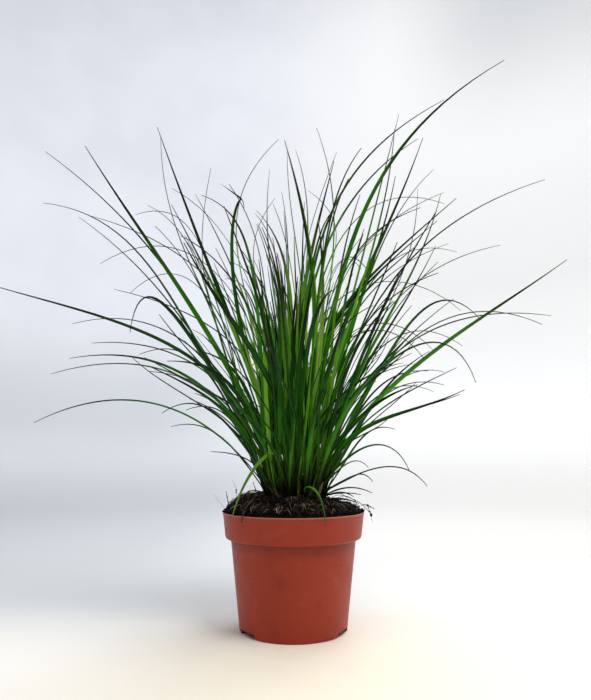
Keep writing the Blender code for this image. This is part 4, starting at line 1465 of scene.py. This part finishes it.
# ---------------------------------------------------------------- pot
@dataclass
class NurseryPot:
    """Tapered nursery pot with a rim band, a lip, three feet and drain holes."""

    plastic: bpy.types.Material
    steps: int = 144
    outline: tuple[tuple[float, float, float], ...] = (
        (47.24, 6.6, 1.0), (55.4, 79.5, 1.2), (60.4, 80.9, 1.2), (63.1, 99.6, 0.0),
        (63.5, 101.0, 0.5), (65.0, 101.0, 0.45), (65.3, 99.9, 0.5), (64.75, 99.1, 0.35),
        (62.05, 78.3, 1.9), (57.2, 77.7, 0.8), (48.05, 0.0, 1.0), (45.0, 0.0, 0.3),
        (44.8, 5.0, 0.8))
    floor_top: float = 6.6
    floor_bottom: float = 5.0
    foot_bearing: float = -85.0
    foot_count: int = 3
    notch_span: float = 26.0
    notch_height: float = 4.0
    notch_radius: float = 46.5     # a notch's middle, in the wall's foot
    notch_depth: float = 10.0
    notch_top_share: float = 0.84
    drain_count: int = 6
    drain_circle: float = 33.0
    drain_radius: float = 4.0
    drain_depth: float = 4.0
    drain_sides: int = 20
    crease: float = 38.0           # edges that bend more, in degrees, stay sharp

    def build(self) -> bpy.types.Object:
        """Build the pot and put it in its node's place.

        Returns:
            The pot's object.
        """
        bm = bmesh.new()
        line = [(0.0, self.floor_top, 0.0), *self.outline, (0.0, self.floor_bottom, 0.0)]
        verts = [bm.verts.new((r, 0, z)) for r, z, _ in line]
        for pair in zip(verts, verts[1:]):
            bm.edges.new(pair)
        for vert, (_, _, rounding) in list(zip(verts, line)):
            if rounding:
                bmesh.ops.bevel(bm, geom=[vert], offset=rounding, offset_type="OFFSET",
                                segments=4, profile=0.5, affect="VERTICES", material=-1)
        bmesh.ops.spin(bm, geom=bm.verts[:] + bm.edges[:], cent=(0, 0, 0),
                       axis=(0, 0, 1), angle=2 * math.pi, steps=self.steps, use_merge=True)
        bmesh.ops.remove_doubles(bm, verts=bm.verts, dist=0.005)
        bmesh.ops.recalc_face_normals(bm, faces=bm.faces[:])
        piece = finished(bm, "nursery_pot", self.plastic)
        self.cut(piece)
        return settle(piece, Slot.PLASTIC, "pot")

    def cut(self, piece: bpy.types.Object) -> None:
        """Cut the openings between the feet and the drain holes.

        Args:
            piece: The pot.
        """
        cutter = self.build_cutter()
        modifier = piece.modifiers.new("openings", "BOOLEAN")
        modifier.operation, modifier.solver, modifier.object = "DIFFERENCE", "EXACT", cutter
        graph = bpy.context.evaluated_depsgraph_get()
        mesh = bpy.data.meshes.new_from_object(piece.evaluated_get(graph))
        piece.modifiers.clear()
        piece.data = mesh
        mesh.shade_smooth()
        mesh.set_sharp_from_angle(angle=math.radians(self.crease))
        bpy.data.objects.remove(cutter)

    def build_cutter(self) -> bpy.types.Object:
        """Wedges between the feet, and pins for the drain holes.

        Returns:
            The cutter's object.
        """
        bm = bmesh.new()
        spacing = 360 / self.foot_count
        for number in range(self.foot_count):
            bearing = self.foot_bearing + (number + 0.5) * spacing
            made = bmesh.ops.create_cube(bm, size=1)["verts"]
            for vert in made:
                narrow = self.notch_top_share if vert.co.z > 0 else 1.0
                vert.co.y *= self.notch_span * narrow
                vert.co.x = self.notch_radius + vert.co.x * self.notch_depth
                vert.co.z = self.notch_height if vert.co.z > 0 else -self.notch_height / 2
            bmesh.ops.rotate(bm, verts=made, cent=(0, 0, 0),
                             matrix=Matrix.Rotation(math.radians(bearing), 3, "Z"))
        for number in range(self.drain_count):
            spot = compass((number + 0.5) * 360 / self.drain_count) * self.drain_circle
            middle = (self.floor_top + self.floor_bottom) / 2
            place = Matrix.Translation((spot.x, spot.y, middle))
            bmesh.ops.create_cone(bm, cap_ends=True, segments=self.drain_sides,
                                  depth=self.drain_depth, matrix=place,
                                  radius1=self.drain_radius, radius2=self.drain_radius)
        return finished(bm, "openings", self.plastic)


# ---------------------------------------------------------------- studio
@dataclass(frozen=True)
class Lamp:
    """One large soft lamp, which faces the plant unless it has another target."""

    name: str
    place: tuple[float, float, float]
    size: float                    # width of its square face
    power: float                   # watts
    colour: str
    target: tuple[float, float, float] = (0, 0, 250)


@dataclass
class Studio:
    """Round paper cove, open at the top, with soft lamps and the camera in it."""

    paper: bpy.types.Material
    floor_radius: float = 1250.0
    cove_radius: float = 620.0
    wall_height: float = 2700.0
    sides: int = 96
    cove_steps: int = 14
    sky: str = "f4f6fb"
    sky_strength: float = 0.5
    lamps: tuple[Lamp, ...] = (
        Lamp("key", (480, -600, 1650), 600, 21.0, "fffaf2"),
        Lamp("fill", (-900, -500, 1300), 900, 3.0, "f4f6ff"),
        Lamp("back", (500, 1000, 1500), 900, 10.0, "ffffff"),
        Lamp("wall_left", (-500, 500, 2300), 900, 3.2, "eef2ff", (-500, 1850, 900)),
        Lamp("wall_right", (500, 500, 2300), 900, 11.5, "fffffd", (600, 1850, 700)))
    camera_place: tuple[float, float, float] = (1.9, -552.0, 149.0)
    camera_pitch: float = 10.7     # above level
    camera_focal: float = 575.0    # focal length in the photograph's pixels
    photo_height: float = 700.0
    sensor: float = 36.0

    def build(self) -> None:
        """Build the cove, the sky's light, the lamps and the camera."""
        bpy.context.scene.view_settings.view_transform = "Standard"
        self.bend_cove()
        self.light_sky()
        for lamp in self.lamps:
            self.hang(lamp)
        self.place_camera()

    def bend_cove(self) -> None:
        """Floor that bends up into a round wall, turned from a line with one curve."""
        bm = bmesh.new()
        corner = bm.verts.new((self.floor_radius, 0, 0))
        centre = (self.floor_radius, 0, self.cove_radius)
        bmesh.ops.spin(bm, geom=[corner], cent=centre, axis=(0, -1, 0),
                       angle=math.pi / 2, steps=self.cove_steps)
        bm.verts.ensure_lookup_table()
        top = max(bm.verts, key=lambda v: v.co.z)
        middle = bm.verts.new((0, 0, 0))
        crest = bm.verts.new((top.co.x, 0, self.wall_height))
        bm.edges.new((middle, corner))
        bm.edges.new((top, crest))
        bmesh.ops.spin(bm, geom=bm.verts[:] + bm.edges[:], cent=(0, 0, 0),
                       axis=(0, 0, 1), angle=2 * math.pi, steps=self.sides, use_merge=True)
        bmesh.ops.remove_doubles(bm, verts=bm.verts, dist=0.01)
        bmesh.ops.recalc_face_normals(bm, faces=bm.faces[:])
        finished(bm, "paper_cove", self.paper)

    def light_sky(self) -> None:
        """Even light from above the cove."""
        world = bpy.data.worlds.new("studio_sky")
        bpy.context.scene.world = world
        world.use_nodes = True
        background = world.node_tree.nodes["Background"]
        background.inputs["Color"].default_value = linear(self.sky)
        background.inputs["Strength"].default_value = self.sky_strength

    def hang(self, lamp: Lamp) -> None:
        """Hang one lamp so that it faces its target.

        Args:
            lamp: The lamp.
        """
        data = bpy.data.lights.new(lamp.name, "AREA")
        data.size, data.energy = lamp.size * MM, lamp.power
        data.color = linear(lamp.colour)[:3]
        hung = bpy.data.objects.new(lamp.name, data)
        hung.location = Vector(lamp.place) * MM
        way = Vector(lamp.target) * MM - hung.location
        hung.rotation_euler = way.to_track_quat("-Z", "Y").to_euler()
        bpy.context.scene.collection.objects.link(hung)

    def place_camera(self) -> None:
        """The camera, fitted to the pot's rim, band and base in the photograph."""
        data = bpy.data.cameras.new("camera")
        data.sensor_width = self.sensor
        data.lens = self.camera_focal / self.photo_height * self.sensor
        data.clip_start, data.clip_end = 0.01, 50.0
        camera = bpy.data.objects.new("camera", data)
        camera.location = Vector(self.camera_place) * MM
        camera.rotation_euler = (math.radians(90 + self.camera_pitch), 0, 0)
        bpy.context.scene.collection.objects.link(camera)
        bpy.context.scene.camera = camera


def main() -> None:
    """Build the studio, the pot, the soil and the tillers, in that order."""
    logging.basicConfig(level=logging.INFO, format="%(message)s")
    Studio(StudioPaperFinish().material()).build()
    NurseryPot(MouldedPlasticFinish().material()).build()
    SoilHeap(PeatFinish().material(), RootFibreFinish().material()).build()
    blade, reader = GrassBladeFinish().material(), TillerReader()
    tillers = sorted(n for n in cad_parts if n.startswith("tiller_"))
    for name in tillers:
        TillerFoliage(int(name.split("_")[1]), reader, blade).build()
    LowShoots(0, reader, blade).build()


if __name__ == "__main__":
    main()
